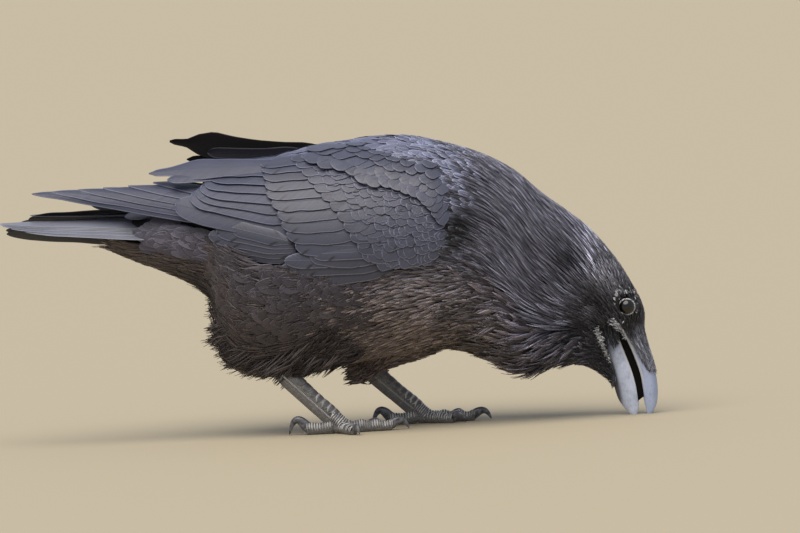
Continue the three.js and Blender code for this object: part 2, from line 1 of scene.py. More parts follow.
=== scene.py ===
"""A common raven bending down to peck, life size: skin, coat of feathers, bill, eyes, legs and claws."""
import math

import bmesh
import bpy
import numpy as np
from mathutils import Matrix, Vector


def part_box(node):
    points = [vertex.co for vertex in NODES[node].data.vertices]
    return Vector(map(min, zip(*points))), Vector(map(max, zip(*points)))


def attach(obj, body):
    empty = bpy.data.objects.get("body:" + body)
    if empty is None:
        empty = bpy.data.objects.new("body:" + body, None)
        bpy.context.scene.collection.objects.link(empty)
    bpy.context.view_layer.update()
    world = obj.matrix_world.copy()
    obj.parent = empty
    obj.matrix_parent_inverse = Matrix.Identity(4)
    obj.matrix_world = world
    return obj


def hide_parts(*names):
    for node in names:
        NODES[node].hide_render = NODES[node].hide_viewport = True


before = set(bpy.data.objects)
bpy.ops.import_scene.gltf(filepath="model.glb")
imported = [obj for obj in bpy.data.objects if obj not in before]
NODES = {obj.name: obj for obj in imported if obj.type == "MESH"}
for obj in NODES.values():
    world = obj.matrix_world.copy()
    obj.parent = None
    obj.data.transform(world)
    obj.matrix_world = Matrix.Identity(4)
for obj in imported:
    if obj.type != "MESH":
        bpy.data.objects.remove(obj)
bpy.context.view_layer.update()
RIGHT, LEFT = -1, 1
SIDE_NAMES = {RIGHT: "right", LEFT: "left"}

# ---------------------------------------------------------------- measures, in mm

# The body's outline: x and z of the back line and the belly line, half-width, and level of the widest place.
BODY = np.array([
    (-204, 199, -206, 173, 15, 0.5), (-172, 203, -172, 157, 26, 0.5), (-140, 210, -138, 142, 38, 0.5),
    (-112, 219, -112, 122, 49, 0.5), (-84, 230, -108, 92, 60, 0.48), (-56, 240, -99, 65, 67, 0.47),
    (-22, 250, -76, 52, 72, 0.47), (20, 255, -36, 52, 75, 0.47), (62, 257, 18, 60, 76, 0.47),
    (98, 249, 66, 66, 74, 0.47), (132, 237, 100, 67, 68, 0.46), (160, 221, 126, 57, 61, 0.46),
    (184, 199, 146, 45, 54, 0.46), (203, 184, 162, 41.5, 48, 0.47), (222, 168, 175, 43, 42, 0.49),
    (239, 148, 187, 46, 36, 0.53), (250, 132, 197, 47, 31.5, 0.57), (258.5, 116, 206, 47, 28, 0.6),
    (265, 103, 214, 45, 25, 0.62), (268.5, 90, 223, 40, 18.5, 0.6), (268, 80, 231, 33, 13.5, 0.55),
    (267, 72, 238, 25, 10.5, 0.5)])
LAST_STATION = len(BODY) - 1

# The hull of the folded wings: x, middle height, half-width and height over the middle.
HULL = np.array([
    (-270, 221, 20, 14), (-220, 214, 28, 23), (-160, 199, 43, 39), (-100, 182, 61, 61), (-40, 166, 76, 84),
    (20, 161, 83, 93), (80, 163, 77, 87), (116, 168, 64, 72)])

EYE = Vector((252.7, 18.6, 96.3))
EYE_RADIUS = 7.4  # of the ball
EYE_NODE_X = 253.5  # the middle of the node that the eye stands for
# Bill: height, x of the keel side, x of the cutting edge, half-width, tilt of the ring in degrees.
UPPER_BILL = np.array([
    (84, 262, 241, 12.5, 6), (72, 263, 248.5, 12, 5), (60, 266.5, 253.8, 11, 4), (47, 271.5, 258.3, 9.8, 3),
    (34, 275.8, 261.8, 8.4, 2), (21, 276.8, 263.3, 6.6, 1), (10, 275.6, 264.4, 4.4, 0),
    (3, 272.6, 266, 2.6, 0), (0, 270.4, 266.4, 1.6, 0)])
LOWER_BILL = np.array([
    (80, 243, 229, 11.5, 6), (68, 245.6, 230, 11.2, 5), (54, 250.2, 233.4, 10.2, 4), (40, 255, 236.6, 8.8, 3),
    (27, 258.2, 238.4, 7.2, 1), (14, 259.6, 241.8, 5.2, 0), (5, 259, 247.6, 3.4, 0), (0, 257.2, 252, 1.8, 0)])

LEGS = {
    RIGHT: {"hip": (-14, 36, 92), "ankle": (-51, 36, 55), "hub": (-4, 36, 6.2),
            "toes": {"middle": 4, "inner": 34, "outer": -68, "hind": 178}},
    LEFT: {"hip": (62, 33, 92), "ankle": (23, 33, 51), "hub": (69, 33, 6.2),
           "toes": {"middle": 2, "inner": 32, "outer": -34, "hind": 176}}}
TOES = {  # length, radius, joints, claw length, claw rise
    "middle": (46, 5.2, 3, 16, 4.6), "inner": (32, 4.8, 2, 14, 4), "outer": (34, 4.6, 3, 13, 3.6),
    "hind": (29, 5.8, 1, 17, 9)}
HUB_RADIUS = 7.4  # of the foot where the toes meet
SHANK = np.array([(-0.08, 6.6), (0.12, 7.6), (0.5, 7), (0.8, 8), (0.97, 7.2)])

# The model stands with the middle of its box over the origin: how far the measures above are moved along X.
low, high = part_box("eye_right")
SHIFT = (low[0] + high[0]) / 2 * 1000 - EYE_NODE_X

rng = np.random.default_rng(7)


def metres(points):
    """Points in the measures' frame, in mm, to the model's frame, in metres."""
    return (np.asarray(points, float) + (SHIFT, 0, 0)) / 1000


# ---------------------------------------------------------------- surfaces

def unit(v):
    """Vectors made one long."""
    return v / np.maximum(np.linalg.norm(v, axis=-1, keepdims=True), 1e-9)


def chain(rows, t):
    """A smooth curve through rows, with t counted in rows."""
    rows = np.asarray(rows, float)
    last = len(rows) - 1
    i = np.clip(np.floor(t).astype(int), 0, last - 1)
    f = (t - i)[..., None]
    p1, p2 = rows[i], rows[i + 1]
    p0 = np.where((i > 0)[..., None], rows[np.maximum(i - 1, 0)], 2 * p1 - p2)
    p3 = np.where((i < last - 1)[..., None], rows[np.minimum(i + 2, last)], 2 * p2 - p1)
    return p1 + 0.5 * f * (p2 - p0 + f * (2 * p0 - 5 * p1 + 4 * p2 - p3 + f * (3 * (p1 - p2) + p3 - p0)))


class Trunk:
    """The coat's outer surface of trunk, neck and head. Station t runs from the tail coverts to the chin.
    Angle a is 0 on the bird's left side and pi / 2 on its back."""
    last = LAST_STATION
    overrun = np.array([30.0, 0, 0])  # how a feather goes on behind the first station

    def at(self, t, a):
        t, a = np.broadcast_arrays(np.asarray(t, float), np.asarray(a, float))
        top_x, top_z, low_x, low_z, wide, level = np.moveaxis(chain(BODY, np.clip(t, 0, self.last)), -1, 0)
        middle_x, middle_z = low_x + (top_x - low_x) * level, low_z + (top_z - low_z) * level
        s = np.sin(a)
        end_x, end_z = np.where(s > 0, top_x, low_x), np.where(s > 0, top_z, low_z)
        s = np.abs(s)
        x, z = middle_x + (end_x - middle_x) * s, middle_z + (end_z - middle_z) * s
        return np.stack([x, wide * np.cos(a), z], -1)


# Each station's share of the way from hip to ankle and the thigh's radius there. The last is past the hip.
THIGH = np.array([(1.02, 9), (0.65, 17), (0.35, 28), (0, 38), (-0.3, 40)])


class Thigh:
    """The coat's outer surface of a thigh. Station t runs from the ankle up past the hip."""
    last = len(THIGH) - 1

    def __init__(self, side):
        leg = LEGS[side]
        self.hip, self.ankle = (np.array(leg[key], float) * (1, side, 1) for key in ("hip", "ankle"))
        self.down = unit(self.ankle - self.hip)
        self.across = np.array([0, 1.0, 0])
        self.front = np.cross(self.across, self.down)
        self.overrun = self.down * -12

    def at(self, t, a):
        t, a = np.broadcast_arrays(np.asarray(t, float), np.asarray(a, float))
        share, radius = np.moveaxis(chain(THIGH, np.clip(t, 0, self.last)), -1, 0)
        axis = self.hip + (self.ankle - self.hip) * share[..., None]
        return (axis + self.across * (radius * 0.62 * np.cos(a))[..., None]
                - self.front * (radius * np.sin(a))[..., None])


def slopes(surface, t, a):
    """How a surface runs with t and with a, and the way out of it."""
    ahead, behind = surface.at(np.minimum(t + 0.05, surface.last), a), surface.at(np.maximum(t - 0.05, 0), a)
    along = (ahead - behind) / 0.1
    around = (surface.at(t, a + 0.02) - surface.at(t, a - 0.02)) / 0.04
    return along, around, unit(np.cross(around, along))


trunk = Trunk()


def on_side(places, side):
    """Station and angle of places on one side of the trunk or head, given by their x and z."""
    quarter = math.pi / 2
    t, a = np.meshgrid(np.linspace(0, LAST_STATION, 420), np.linspace(-quarter, quarter, 200), indexing="ij")
    grid = trunk.at(t, a)[..., (0, 2)].reshape(-1, 2)
    near = [np.argmin(((grid - place) ** 2).sum(1)) for place in np.asarray(places, float)]
    a = a.ravel()[near]
    return t.ravel()[near], a if side == LEFT else math.pi - a


def hermite(table, x, column):
    """A column of a table as a smooth curve over its first column."""
    xs, ys = table[:, 0], table[:, column]
    tangents = np.gradient(ys, 1)
    tangents[1:-1] = (ys[2:] - ys[:-2]) / (xs[2:] - xs[:-2])
    tangents[0] = (ys[1] - ys[0]) / (xs[1] - xs[0])
    tangents[-1] = (ys[-1] - ys[-2]) / (xs[-1] - xs[-2])
    i = np.clip(np.searchsorted(xs, x) - 1, 0, len(xs) - 2)
    span = xs[i + 1] - xs[i]
    t = np.clip((x - xs[i]) / span, 0, 1.2)
    return (ys[i] * (1 + 2 * t) * (1 - t) ** 2 + tangents[i] * span * t * (1 - t) ** 2
            + ys[i + 1] * t * t * (3 - 2 * t) + tangents[i + 1] * span * t * t * (t - 1))


def hull(x, angle, lift, side):
    """The wings' outer surface at x and angle: 0 is the side and pi / 2 the back."""
    x, angle, lift = np.broadcast_arrays(np.asarray(x, float), np.asarray(angle, float),
                                         np.asarray(lift, float))
    wide = hermite(HULL, x, 2) + lift
    tall = hermite(HULL, x, 3) + lift
    return np.stack([x, side * wide * np.cos(angle), hermite(HULL, x, 1) + tall * np.sin(angle)], -1)


def hull_angle(p):
    """The angle on the wings' hull of a point near it."""
    x = p[..., 0]
    return np.arctan2((p[..., 2] - hermite(HULL, x, 1)) / hermite(HULL, x, 3),
                      np.abs(p[..., 1]) / hermite(HULL, x, 2))


def hull_out(x, angle, side):
    """The way out of the wings' outer surface."""
    along = hull(x + 1, angle, 0, side) - hull(x - 1, angle, 0, side)
    around = hull(x, angle + 0.02, 0, side) - hull(x, angle - 0.02, 0, side)
    return unit(np.cross(around, along)) * side


def hull_step(places, ahead, up):
    """Places on the hull, as x and degrees, moved by mm along x and up round the hull."""
    places = np.asarray(places, float)
    x, angle = places[..., 0], np.radians(places[..., 1])
    per_radian = np.hypot(hermite(HULL, x, 2) * np.sin(angle), hermite(HULL, x, 3) * np.cos(angle))
    return np.stack([x + ahead, np.degrees(angle + up / per_radian)], -1)


# ---------------------------------------------------------------- meshes

def link(obj):
    """Links an object to the scene."""
    bpy.context.scene.collection.objects.link(obj)


def place(obj, replaced=(), slot=None):
    """Links a finished piece, lets it ride on the body and hides the nodes it stands for."""
    if obj.name not in bpy.context.scene.collection.objects:
        link(obj)
    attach(obj, "root")
    if replaced:
        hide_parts(*replaced)
    return obj


def smooth_mesh(name, builder, material):
    """Ends a mesh that was made in a builder: smooth faces of one material."""
    for face in builder.faces:
        face.smooth = True
    mesh = bpy.data.meshes.new(name)
    builder.to_mesh(mesh)
    builder.free()
    mesh.materials.append(material)
    return mesh


def mesh_from_arrays(name, vertices, quads, caps, uvs, floats):
    """A mesh from arrays: rows of four corners, rows of cap corners, UV maps and numbers for each vertex."""
    mesh = bpy.data.meshes.new(name)
    mesh.vertices.add(len(vertices))
    mesh.vertices.foreach_set("co", metres(vertices).ravel())
    corners = np.concatenate([quads.ravel(), caps.ravel()])
    mesh.loops.add(len(corners))
    mesh.loops.foreach_set("vertex_index", corners)
    cap_starts = len(quads) * 4 + np.arange(len(caps)) * caps.shape[1]
    starts = np.concatenate([np.arange(len(quads)) * 4, cap_starts])
    mesh.polygons.add(len(starts))
    mesh.polygons.foreach_set("loop_start", starts)
    mesh.polygons.foreach_set("use_smooth", np.ones(len(starts), bool))
    for key, values in uvs.items():
        mesh.uv_layers.new(name=key).data.foreach_set("uv", values[corners].ravel())
    for key, values in floats.items():
        mesh.attributes.new(key, "FLOAT", "POINT").data.foreach_set("value", values)
    mesh.update(calc_edges=True)
    return mesh


PATCH = 0.003  # the side of a small feather's patch on the bake map
UNDERSIDE = 0.35  # how dark the underside of a feather is against its face


class Blades:
    """Feathers and scales as closed thin blades that lie along spines. All measures are in mm."""

    def __init__(self):
        self.rows = []

    def add(self, spine, out, half, *, arch=0.3, thick=0.5, roll=0.0, tone=1.0, warm=0.0, root=None):
        """spine and out are (n, k, 3), the half-width half is (n, k), and the place on the bake map, root, is
        (n, 2)."""
        n = len(half)
        each = [np.broadcast_to(np.asarray(value, float), (n,)) for value in (arch, thick, roll, tone, warm)]
        self.rows.append((spine, out, half, *each, root))

    def build(self, name, material, across, slot, replaced=()):
        """Makes one piece of all the feathers. across holds places over a feather's width, from -1 to 1."""
        u = np.concatenate([across, across[-2:0:-1]])
        face = np.where(np.arange(len(u)) < len(across), 0.5, -0.5)
        crown = 1 - u ** 2
        m = len(u)
        total = sum(len(row[2]) for row in self.rows)
        columns = math.ceil(math.sqrt(total))
        lines = math.ceil(total / columns)
        points, quads, caps, maps, marks = [], [], [], [], []
        vertex, feather = 0, 0
        for spine, out, half, arch, thick, roll, tone, warm, root in self.rows:
            n, k = half.shape
            steps = np.diff(spine, axis=1)
            step_here = np.concatenate([steps, steps[:, -1:]], 1)
            step_before = np.concatenate([steps[:, :1], steps], 1)
            ahead = unit(step_here + step_before)
            side = unit(np.cross(ahead, out))
            up = unit(np.cross(side, ahead))
            turn_cos, turn_sin = np.cos(roll)[:, None, None], np.sin(roll)[:, None, None]
            side, up = side * turn_cos + up * turn_sin, up * turn_cos - side * turn_sin
            run = np.concatenate([np.zeros((n, 1)), np.cumsum(np.linalg.norm(steps, axis=2), 1)], 1)
            share = run / np.maximum(run[:, -1:], 1e-6)
            thin = np.minimum(1, 2.5 * (1 - share) + 0.25)[..., None]
            skin = thick[:, None, None] * face * np.minimum(1, crown * 3) * thin
            height = arch[:, None, None] * crown + skin
            points.append((spine[:, :, None] + side[:, :, None] * (u * half[..., None])[..., None]
                           + up[:, :, None] * height[..., None]).reshape(-1, 3))
            ring = vertex + np.arange(n * k * m).reshape(n, k, m)
            beside = np.roll(ring, -1, axis=2)
            corners = [ring[:, :-1], beside[:, :-1], beside[:, 1:], ring[:, 1:]]
            quads.append(np.stack(corners, -1).reshape(-1, 4))
            caps += [ring[:, 0, ::-1], ring[:, -1]]
            flat = lambda values: np.broadcast_to(values, (n, k, m)).reshape(-1)
            if root is None:
                # A large feather has a cell of its own on the bake map.
                index = feather + np.arange(n)
                corner = np.stack([index % columns / columns, index // columns / lines], -1)
                local = np.stack([flat(u * 0.46 + 0.5) / columns,
                                  flat(share[..., None] * 0.94 + 0.03) / lines], -1)
                bake = corner[:, None] + local.reshape(n, k * m, 2)
            else:
                local = np.stack([flat(u * 0.5), flat(share[..., None] - 0.5)], -1).reshape(n, k * m, 2)
                bake = np.clip(root, PATCH, 1 - PATCH)[:, None] + local * PATCH
            maps.append(np.stack([bake.reshape(-1, 2),
                                  np.stack([flat(u * 0.5 + 0.5), flat(share[..., None])], -1),
                                  np.stack([flat(u * half[..., None]), flat(run[..., None])], -1) / 100]))
            to_tip = run[:, -1:] - run
            shade = np.where(face > 0, 1, UNDERSIDE)
            marks.append(np.stack([flat(tone[:, None, None] * shade), flat(face < 0),
                                   flat(warm[:, None, None]), flat((1 - np.abs(u)) * half[..., None]),
                                   flat(to_tip[..., None])]))
            vertex += n * k * m
            feather += n
        maps = np.concatenate(maps, 1)
        mesh = mesh_from_arrays(name, np.concatenate(points), np.concatenate(quads), np.concatenate(caps),
                                {"OFBake": maps[0], "vane": maps[1], "barbs": maps[2]},
                                dict(zip(("tone", "lower", "warm", "edge_mm", "tip_mm"),
                                         np.concatenate(marks, 1))))
        mesh.materials.append(material)
        return place(bpy.data.objects.new(name, mesh), replaced, slot)


FINE = np.array([-1, 0, 1.0])
MEDIUM = np.array([-1, -0.88, 0, 0.88, 1.0])
BROAD = np.array([-1, -0.93, -0.5, -0.06, 0.06, 0.5, 0.93, 1.0])


def round_off(s, start, span, power):
    """1 from the root to start, and from there a round end of length span. s, start and span are shares."""
    return np.sqrt(np.clip(1 - (np.clip(s - start, 0, 1) / span) ** power, 0.0004, 1))


def vane_width(s, kind):
    """The share of a feather's half-width along it, from root to tip."""
    if kind == "round":
        return np.minimum(1, 0.45 + 1.6 * s) * round_off(s, 0.52, 0.485, 2.2)
    if kind == "broad":
        return np.minimum(1, 0.4 + 2 * s) * round_off(s, 0.7, 0.301, 2.4)
    if kind == "nib":
        return np.interp(s, [0, 0.2, 0.74, 0.84, 0.9, 0.97, 1], [0.3, 0.8, 1, 0.8, 0.34, 0.24, 0.08])
    if kind == "ragged":
        return np.interp(s, [0, 0.1, 0.45, 0.7, 0.86, 0.95, 1], [0.3, 0.8, 1, 0.95, 0.62, 0.34, 0.06])
    if kind == "flight":
        return np.minimum(1, 0.3 + 2.5 * s) * round_off(s, 0.82, 0.181, 2.2)
    if kind == "hackle":
        return np.minimum(1, 0.4 + 2.2 * s) * np.clip((1 - s) / 0.4, 0.05, 1) ** 0.7
    if kind == "finger":
        return np.minimum(1, 0.3 + 2.2 * s) * (1 - 0.35 * s) * round_off(s, 0.7, 0.301, 2)
    return np.minimum(1, 0.4 + 2.2 * s) * np.clip((1 - s) / 0.62, 0.05, 1) ** 0.8


def glide(surface, t, a, heading, length, s):
    """Lines that start at t and a and run tailwards at a heading: points and the way out, (n, k, 3)."""
    points, outs = [], []
    for i, share in enumerate(s):
        if i:
            step = (share - s[i - 1]) * length
            along, around, _ = slopes(surface, np.clip(t, 0, surface.last), a)
            t = t - np.cos(heading) * step / np.linalg.norm(along, axis=-1)
            a = a + np.sin(heading) * step / np.linalg.norm(around, axis=-1)
        points.append(surface.at(t, a) + np.minimum(t, 0)[:, None] * surface.overrun)
        outs.append(slopes(surface, np.clip(t, 0, surface.last), a)[2])
    return np.stack(points, 1), np.stack(outs, 1)


def below(a):
    """How far an angle lies under the widest line of the body, in degrees."""
    return -np.degrees(np.arcsin(np.sin(a)))


def waves(points, size):
    """A smooth random field from about -1 to 1 over points, with swells about size mm apart."""
    ways = unit(rng.normal(size=(6, 3))) * rng.uniform(0.7, 1.4, (6, 1)) * 2 * math.pi / size
    return np.sin(points @ ways.T + rng.uniform(0, 2 * math.pi, 6)).sum(-1) / 2.2


def tract(blades, *, stations, angles, row, gap, length, half, surface=trunk, kind="lance", depth=3.0,
          rise=0.6, steps=4, swirl=0.0, jitter=0.4, arch=0.25, thick=0.26, tone=1.0, spread_tone=0.2,
          warm=0.0, keep=None, fade=(0, 0), loose=0.0, wander=0.1, locks=(16, 0.0)):
    """Fills a field with rows of feathers. angles are in degrees, and row and gap are the steps along and
    across in mm. Sizes, lie and tone may be functions of station t and angle a. fade is how many stations the
    field thins out over at its two ends, and locks are the size in mm of the tufts that feathers gather in
    and how much they turn."""
    value = lambda item, t, a: item(t, a) if callable(item) else np.full(np.shape(t), float(item))
    angles = np.radians(angles)
    middle = np.full(1, angles.mean())
    t = stations[1]
    picked_t, picked_a = [], []
    odd = 0
    while t > stations[0]:
        sweep = np.linspace(*angles, 90)
        ring = surface.at(np.full(90, t), sweep)
        arc = np.concatenate([[0], np.cumsum(np.linalg.norm(np.diff(ring, axis=0), axis=1))])
        count = max(int(arc[-1] / value(gap, np.full(1, t), middle)[0]), 2)
        spots = (np.arange(count) + 0.25 + 0.5 * odd + rng.uniform(-jitter, jitter, count)) / count * arc[-1]
        at = np.interp(spots, arc, sweep)
        speed = np.linalg.norm(slopes(surface, np.full(count, t), at)[0], axis=1)
        pace = value(row, np.full(1, t), middle)[0]
        picked_t.append(np.clip(t + rng.uniform(-jitter, jitter, count) * pace / speed, *stations))
        picked_a.append(at)
        t -= pace / speed.mean()
        odd = 1 - odd
    t, a = np.concatenate(picked_t), np.concatenate(picked_a)
    chance = np.minimum((t - stations[0]) / max(fade[0], 0.01), (stations[1] - t) / max(fade[1], 0.01)) + 0.1
    held = rng.random(len(t)) < chance
    if keep is not None:
        held &= keep(surface.at(t, a), t, a)
    t, a = t[held], a[held]
    n = len(t)
    here = surface.at(t, a)
    size = rng.uniform(0.86, 1.14, n)
    heading = value(swirl, t, a) + rng.normal(0, wander, n) + locks[1] * waves(here, locks[0])
    s = 1 - (1 - np.linspace(0, 1, steps)) ** 1.35
    spine, out = glide(surface, t, a, heading, value(length, t, a) * size, s)
    standing = value(loose, t, a) * (
        0.3 * rng.random(n) ** 2 + 0.7 * np.clip(waves(here, locks[0]), 0, 1) ** 2)
    lift_root, lift_tip = value(depth, t, a), value(rise, t, a) + standing
    spine = spine + out * (lift_tip[:, None] * s - lift_root[:, None] * (1 - s) ** 1.2)[..., None]
    widths = (value(half, t, a) * size)[:, None] * vane_width(s, kind)
    field = np.stack([(a - angles[0]) / (angles[1] - angles[0]),
                      (t - stations[0]) / (stations[1] - stations[0])], -1)
    shade = 1 + spread_tone * (3 * rng.random(n) ** 3 - 0.75)
    blades.add(spine, out, widths, arch=arch, thick=thick, roll=rng.normal(0, 0.12, n),
               tone=value(tone, t, a) * shade, warm=np.clip(value(warm, t, a), 0, 1), root=field)


def worn(widths, amount):
    """Half-widths made a little uneven along each feather, as on worn vanes."""
    n, k = widths.shape
    knots = rng.normal(0, amount, (n, 9))
    at = np.linspace(0, 8, k)
    low = np.minimum(at.astype(int), 7)
    return widths * (1 + knots[:, low] * (1 - at + low) + knots[:, low + 1] * (at - low))


def on_hull(blades, roots, tips, half, side, *, lift, kind="round", steps=12, bow=0.0, arch=0.8,
            thick=0.5, roll=0.0, tone=1.0):
    """Lays feathers on the wings' hull. roots and tips are x and degrees. lift is the height at both ends."""
    roots, tips = np.asarray(roots, float), np.asarray(tips, float)
    n = len(roots)
    s = 1 - (1 - np.linspace(0, 1, steps)) ** 1.5
    start, end = (hull(ends[:, 0], np.radians(ends[:, 1]), 0, side)[:, None] for ends in (roots, tips))
    line = start + (end - start) * s[:, None]
    line[..., 2] += np.broadcast_to(bow, (n,))[:, None] * 4 * s * (1 - s)
    angle = hull_angle(line)
    lifts = [np.broadcast_to(value, (n,))[:, None] for value in lift]
    over = lifts[0] + (lifts[1] - lifts[0]) * s
    half = worn(np.broadcast_to(half, (n,))[:, None] * vane_width(s, kind), 0.05)
    blades.add(hull(line[..., 0], angle, over, side), hull_out(line[..., 0], angle, side), half,
               arch=arch, thick=thick, roll=np.broadcast_to(roll, (n,)) * side,
               tone=tone * rng.uniform(0.88, 1.12, n))


def free_feather(blades, root, tip, face, half, *, kind="flight", steps=26, sag=0.0, arch=1.0, tone=1.0,
                 warm=0.0):
    """A feather that stands free: root, tip and the way its face looks."""
    s = 1 - (1 - np.linspace(0, 1, steps)) ** 1.4
    root, tip, face = (np.asarray(v, float) for v in (root, tip, face))
    spine = root + (tip - root) * s[:, None] - np.array([0, 0, 1]) * (sag * 4 * s * (1 - s))[:, None]
    blades.add(spine[None], np.broadcast_to(unit(face), (1, steps, 3)),
               worn((half * vane_width(s, kind))[None], 0.12), arch=arch, thick=0.7, tone=tone, warm=warm)


def loft(name, rings, material, slot, replaced=()):
    """A closed skin over rings of points in mm: the first ring is drawn out from one to the next."""
    builder = bmesh.new()
    ring = bmesh.ops.create_circle(builder, segments=len(rings[0]), radius=1)["verts"]
    first = list(ring)
    for vert, co in zip(ring, metres(rings[0])):
        vert.co = co
    edges = [builder.edges.get((a, b)) for a, b in zip(ring, ring[1:] + ring[:1])]
    for points in rings[1:]:
        made = bmesh.ops.extrude_edge_only(builder, edges=edges)["geom"]
        fresh = {item for item in made if isinstance(item, bmesh.types.BMVert)}
        ring = [next(edge.other_vert(vert) for edge in vert.link_edges if edge.other_vert(vert) in fresh)
                for vert in ring]
        for vert, co in zip(ring, metres(points)):
            vert.co = co
        edges = [builder.edges.get((a, b)) for a, b in zip(ring, ring[1:] + ring[:1])]
    for end in (first, ring):
        builder.faces.new(end)
    bmesh.ops.recalc_face_normals(builder, faces=builder.faces)
    return place(bpy.data.objects.new(name, smooth_mesh(name, builder, material)), replaced, slot)


# ---------------------------------------------------------------- materials

def linear(code):
    """An sRGB hex colour as linear numbers."""
    parts = [int(code[i:i + 2], 16) / 255 for i in (1, 3, 5)]
    return tuple(c / 12.92 if c <= 0.04045 else ((c + 0.055) / 1.055) ** 2.4 for c in parts) + (1,)


def add(tree, kind, inputs=(), **settings):
    """Adds a node with its settings and its links. inputs holds a value, a node or a node's output for each
    socket in use, in turn or by name."""
    made = tree.nodes.new("ShaderNode" + kind)
    for key, value in settings.items():
        setattr(made, key, value)
    in_use = [socket for socket in made.inputs if socket.enabled]
    for key, value in inputs.items() if isinstance(inputs, dict) else enumerate(inputs):
        socket = made.inputs[key] if isinstance(key, str) else in_use[key]
        if isinstance(value, bpy.types.Node):
            value = next(output for output in value.outputs if output.enabled)
        if isinstance(value, bpy.types.NodeSocket):
            tree.links.new(value, socket)
        else:
            socket.default_value = value
    return made


def new_material(name):
    """A material without any nodes, and its node tree."""
    material = bpy.data.materials.new(name)
    material.use_nodes = True
    material.node_tree.nodes.clear()
    return material, material.node_tree


def finish(material, shader):
    """Ends a material with a shader that has these inputs."""
    tree = material.node_tree
    add(tree, "OutputMaterial", {"Surface": add(tree, "BsdfPrincipled", shader)})
    return material


def mottled_material(name, dark, pale, scale, shader, detail=4.0, span=None):
    """A matt or waxy material, mottled between two colours. scale is the mottling's own, and span is where on
    it the colour goes over from dark to pale."""
    material, tree = new_material(name)
    where = add(tree, "TexCoord").outputs["Object"]
    mottle = add(tree, "TexNoise", {"Vector": where, "Scale": scale, "Detail": detail})
    if span:
        mottle = add(tree, "MapRange", (mottle, *span))
    colour = add(tree, "Mix", (mottle, linear(dark), linear(pale)), data_type="RGBA")
    return finish(material, {"Base Color": colour, **shader})


def feather_material(name, vane, rim, *, rough, gloss=0.5, under=None, barb_mm=0.9, relief=0.4, shadow_line_mm=0.35,
                     highlight_rim_mm=1.2, sheen=0.0, splits=0.0, blotch=0.2):
    """Feather keratin: matt black barbs in rows that shine where light runs along them, a stiffer shaft in
    the middle, a pale rim that is a painted highlight along the edge, and a thin dark fringe that is painted
    shadow under the edge. The barbs are drawn wider than their real 0.3 mm, so that they show. under is the
    duller, browner colour of the same feathers on the belly, which also paints warm light bounced up from
    below."""
    material, tree = new_material(name)
    tone, lower, warm, edge_mm, tip_mm = (add(tree, "Attribute", attribute_name=key).outputs["Fac"]
                                          for key in ("tone", "lower", "warm", "edge_mm", "tip_mm"))
    where = add(tree, "TexCoord").outputs["Object"]
    on_vane = add(tree, "SeparateXYZ", [add(tree, "UVMap", uv_map="vane")])
    on_barbs = add(tree, "SeparateXYZ", [add(tree, "UVMap", uv_map="barbs")])
    off_shaft = add(tree, "Math", (on_vane, 0.5), operation="SUBTRACT")
    off_shaft = add(tree, "Math", [off_shaft], operation="ABSOLUTE")
    off_line = add(tree, "Math", [on_barbs], operation="ABSOLUTE")
    # The barbs leave the shaft at a slant towards the tip.
    along = add(tree, "Math", (on_barbs.outputs[1], 100.0), operation="MULTIPLY")
    barb = add(tree, "Math", (off_line, -115.0, along), operation="MULTIPLY_ADD")
    barb = add(tree, "Math", (tone, 97.0, barb), operation="MULTIPLY_ADD")
    ripple = add(tree, "TexNoise", {"W": barb, "Scale": 1 / barb_mm, "Detail": 2.0, "Roughness": 0.6},
                 noise_dimensions="1D")
    border = add(tree, "Math", (edge_mm, tip_mm), operation="MINIMUM")
    flat, edge = linear(vane), linear(rim)
    if under:
        flat = add(tree, "Mix", (warm, flat, linear(under[0])), data_type="RGBA")
        edge = add(tree, "Mix", (warm, edge, linear(under[1])), data_type="RGBA")
    # Near the border the colour goes over to the pale rim colour: a painted highlight along the feather's
    # edge.
    inside_rim_highlight = add(tree, "MapRange", (border, shadow_line_mm, highlight_rim_mm), interpolation_type="SMOOTHSTEP")
    colour = add(tree, "Mix", (inside_rim_highlight, edge, flat), data_type="RGBA")
    # What dims the feather: soft patches, painted shade in the hollows between barbs, and the dark fringe,
    # which is painted shadow under the feather's edge.
    patches = add(tree, "TexNoise", {"Vector": where, "Scale": 30.0, "Detail": 3.0})
    dims = [add(tree, "Math", (patches, 2 * blotch, 1 - blotch), operation="MULTIPLY_ADD"),
            add(tree, "MapRange", (ripple, 0.0, 0.62, -0.264, 1.1)),
            add(tree, "MapRange", (border, 0.0, shadow_line_mm, 0.3, 1.0), interpolation_type="SMOOTHSTEP")]
    if splits:
        # A few gaps where barbs have come apart, drawn dark: painted shade in the gaps.
        gap = add(tree, "TexNoise", {"W": barb, "Scale": 0.16, "Detail": 0.0}, noise_dimensions="1D")
        gap = add(tree, "MapRange", (gap, 0.75 - splits * 0.05, 0.76), interpolation_type="SMOOTHSTEP")
        clear = add(tree, "MapRange", (off_shaft, 0.12, 0.3, 0.0, -0.75), interpolation_type="SMOOTHSTEP")
        dims.append(add(tree, "Math", (gap, clear, 1.0), operation="MULTIPLY_ADD"))
    strength = tone
    for dim in dims:
        strength = add(tree, "Math", (strength, dim), operation="MULTIPLY")
    shaft = add(tree, "MapRange", (off_line, 0.004, 0.0))
    height = add(tree, "Math", (shaft, 0.8, ripple), operation="MULTIPLY_ADD")
    return finish(material, {
        "Base Color": add(tree, "VectorMath", (colour, strength), operation="SCALE"),
        # The underside is dull.
        "Roughness": add(tree, "Math", (lower, 0.95 - rough, rough), operation="MULTIPLY_ADD"),
        "Normal": add(tree, "Bump", {"Strength": relief, "Distance": 0.0004, "Height": height}),
        "Specular IOR Level": gloss, "Sheen Weight": sheen, "Sheen Roughness": 0.45,
        "Sheen Tint": linear("#9aa0c8")})
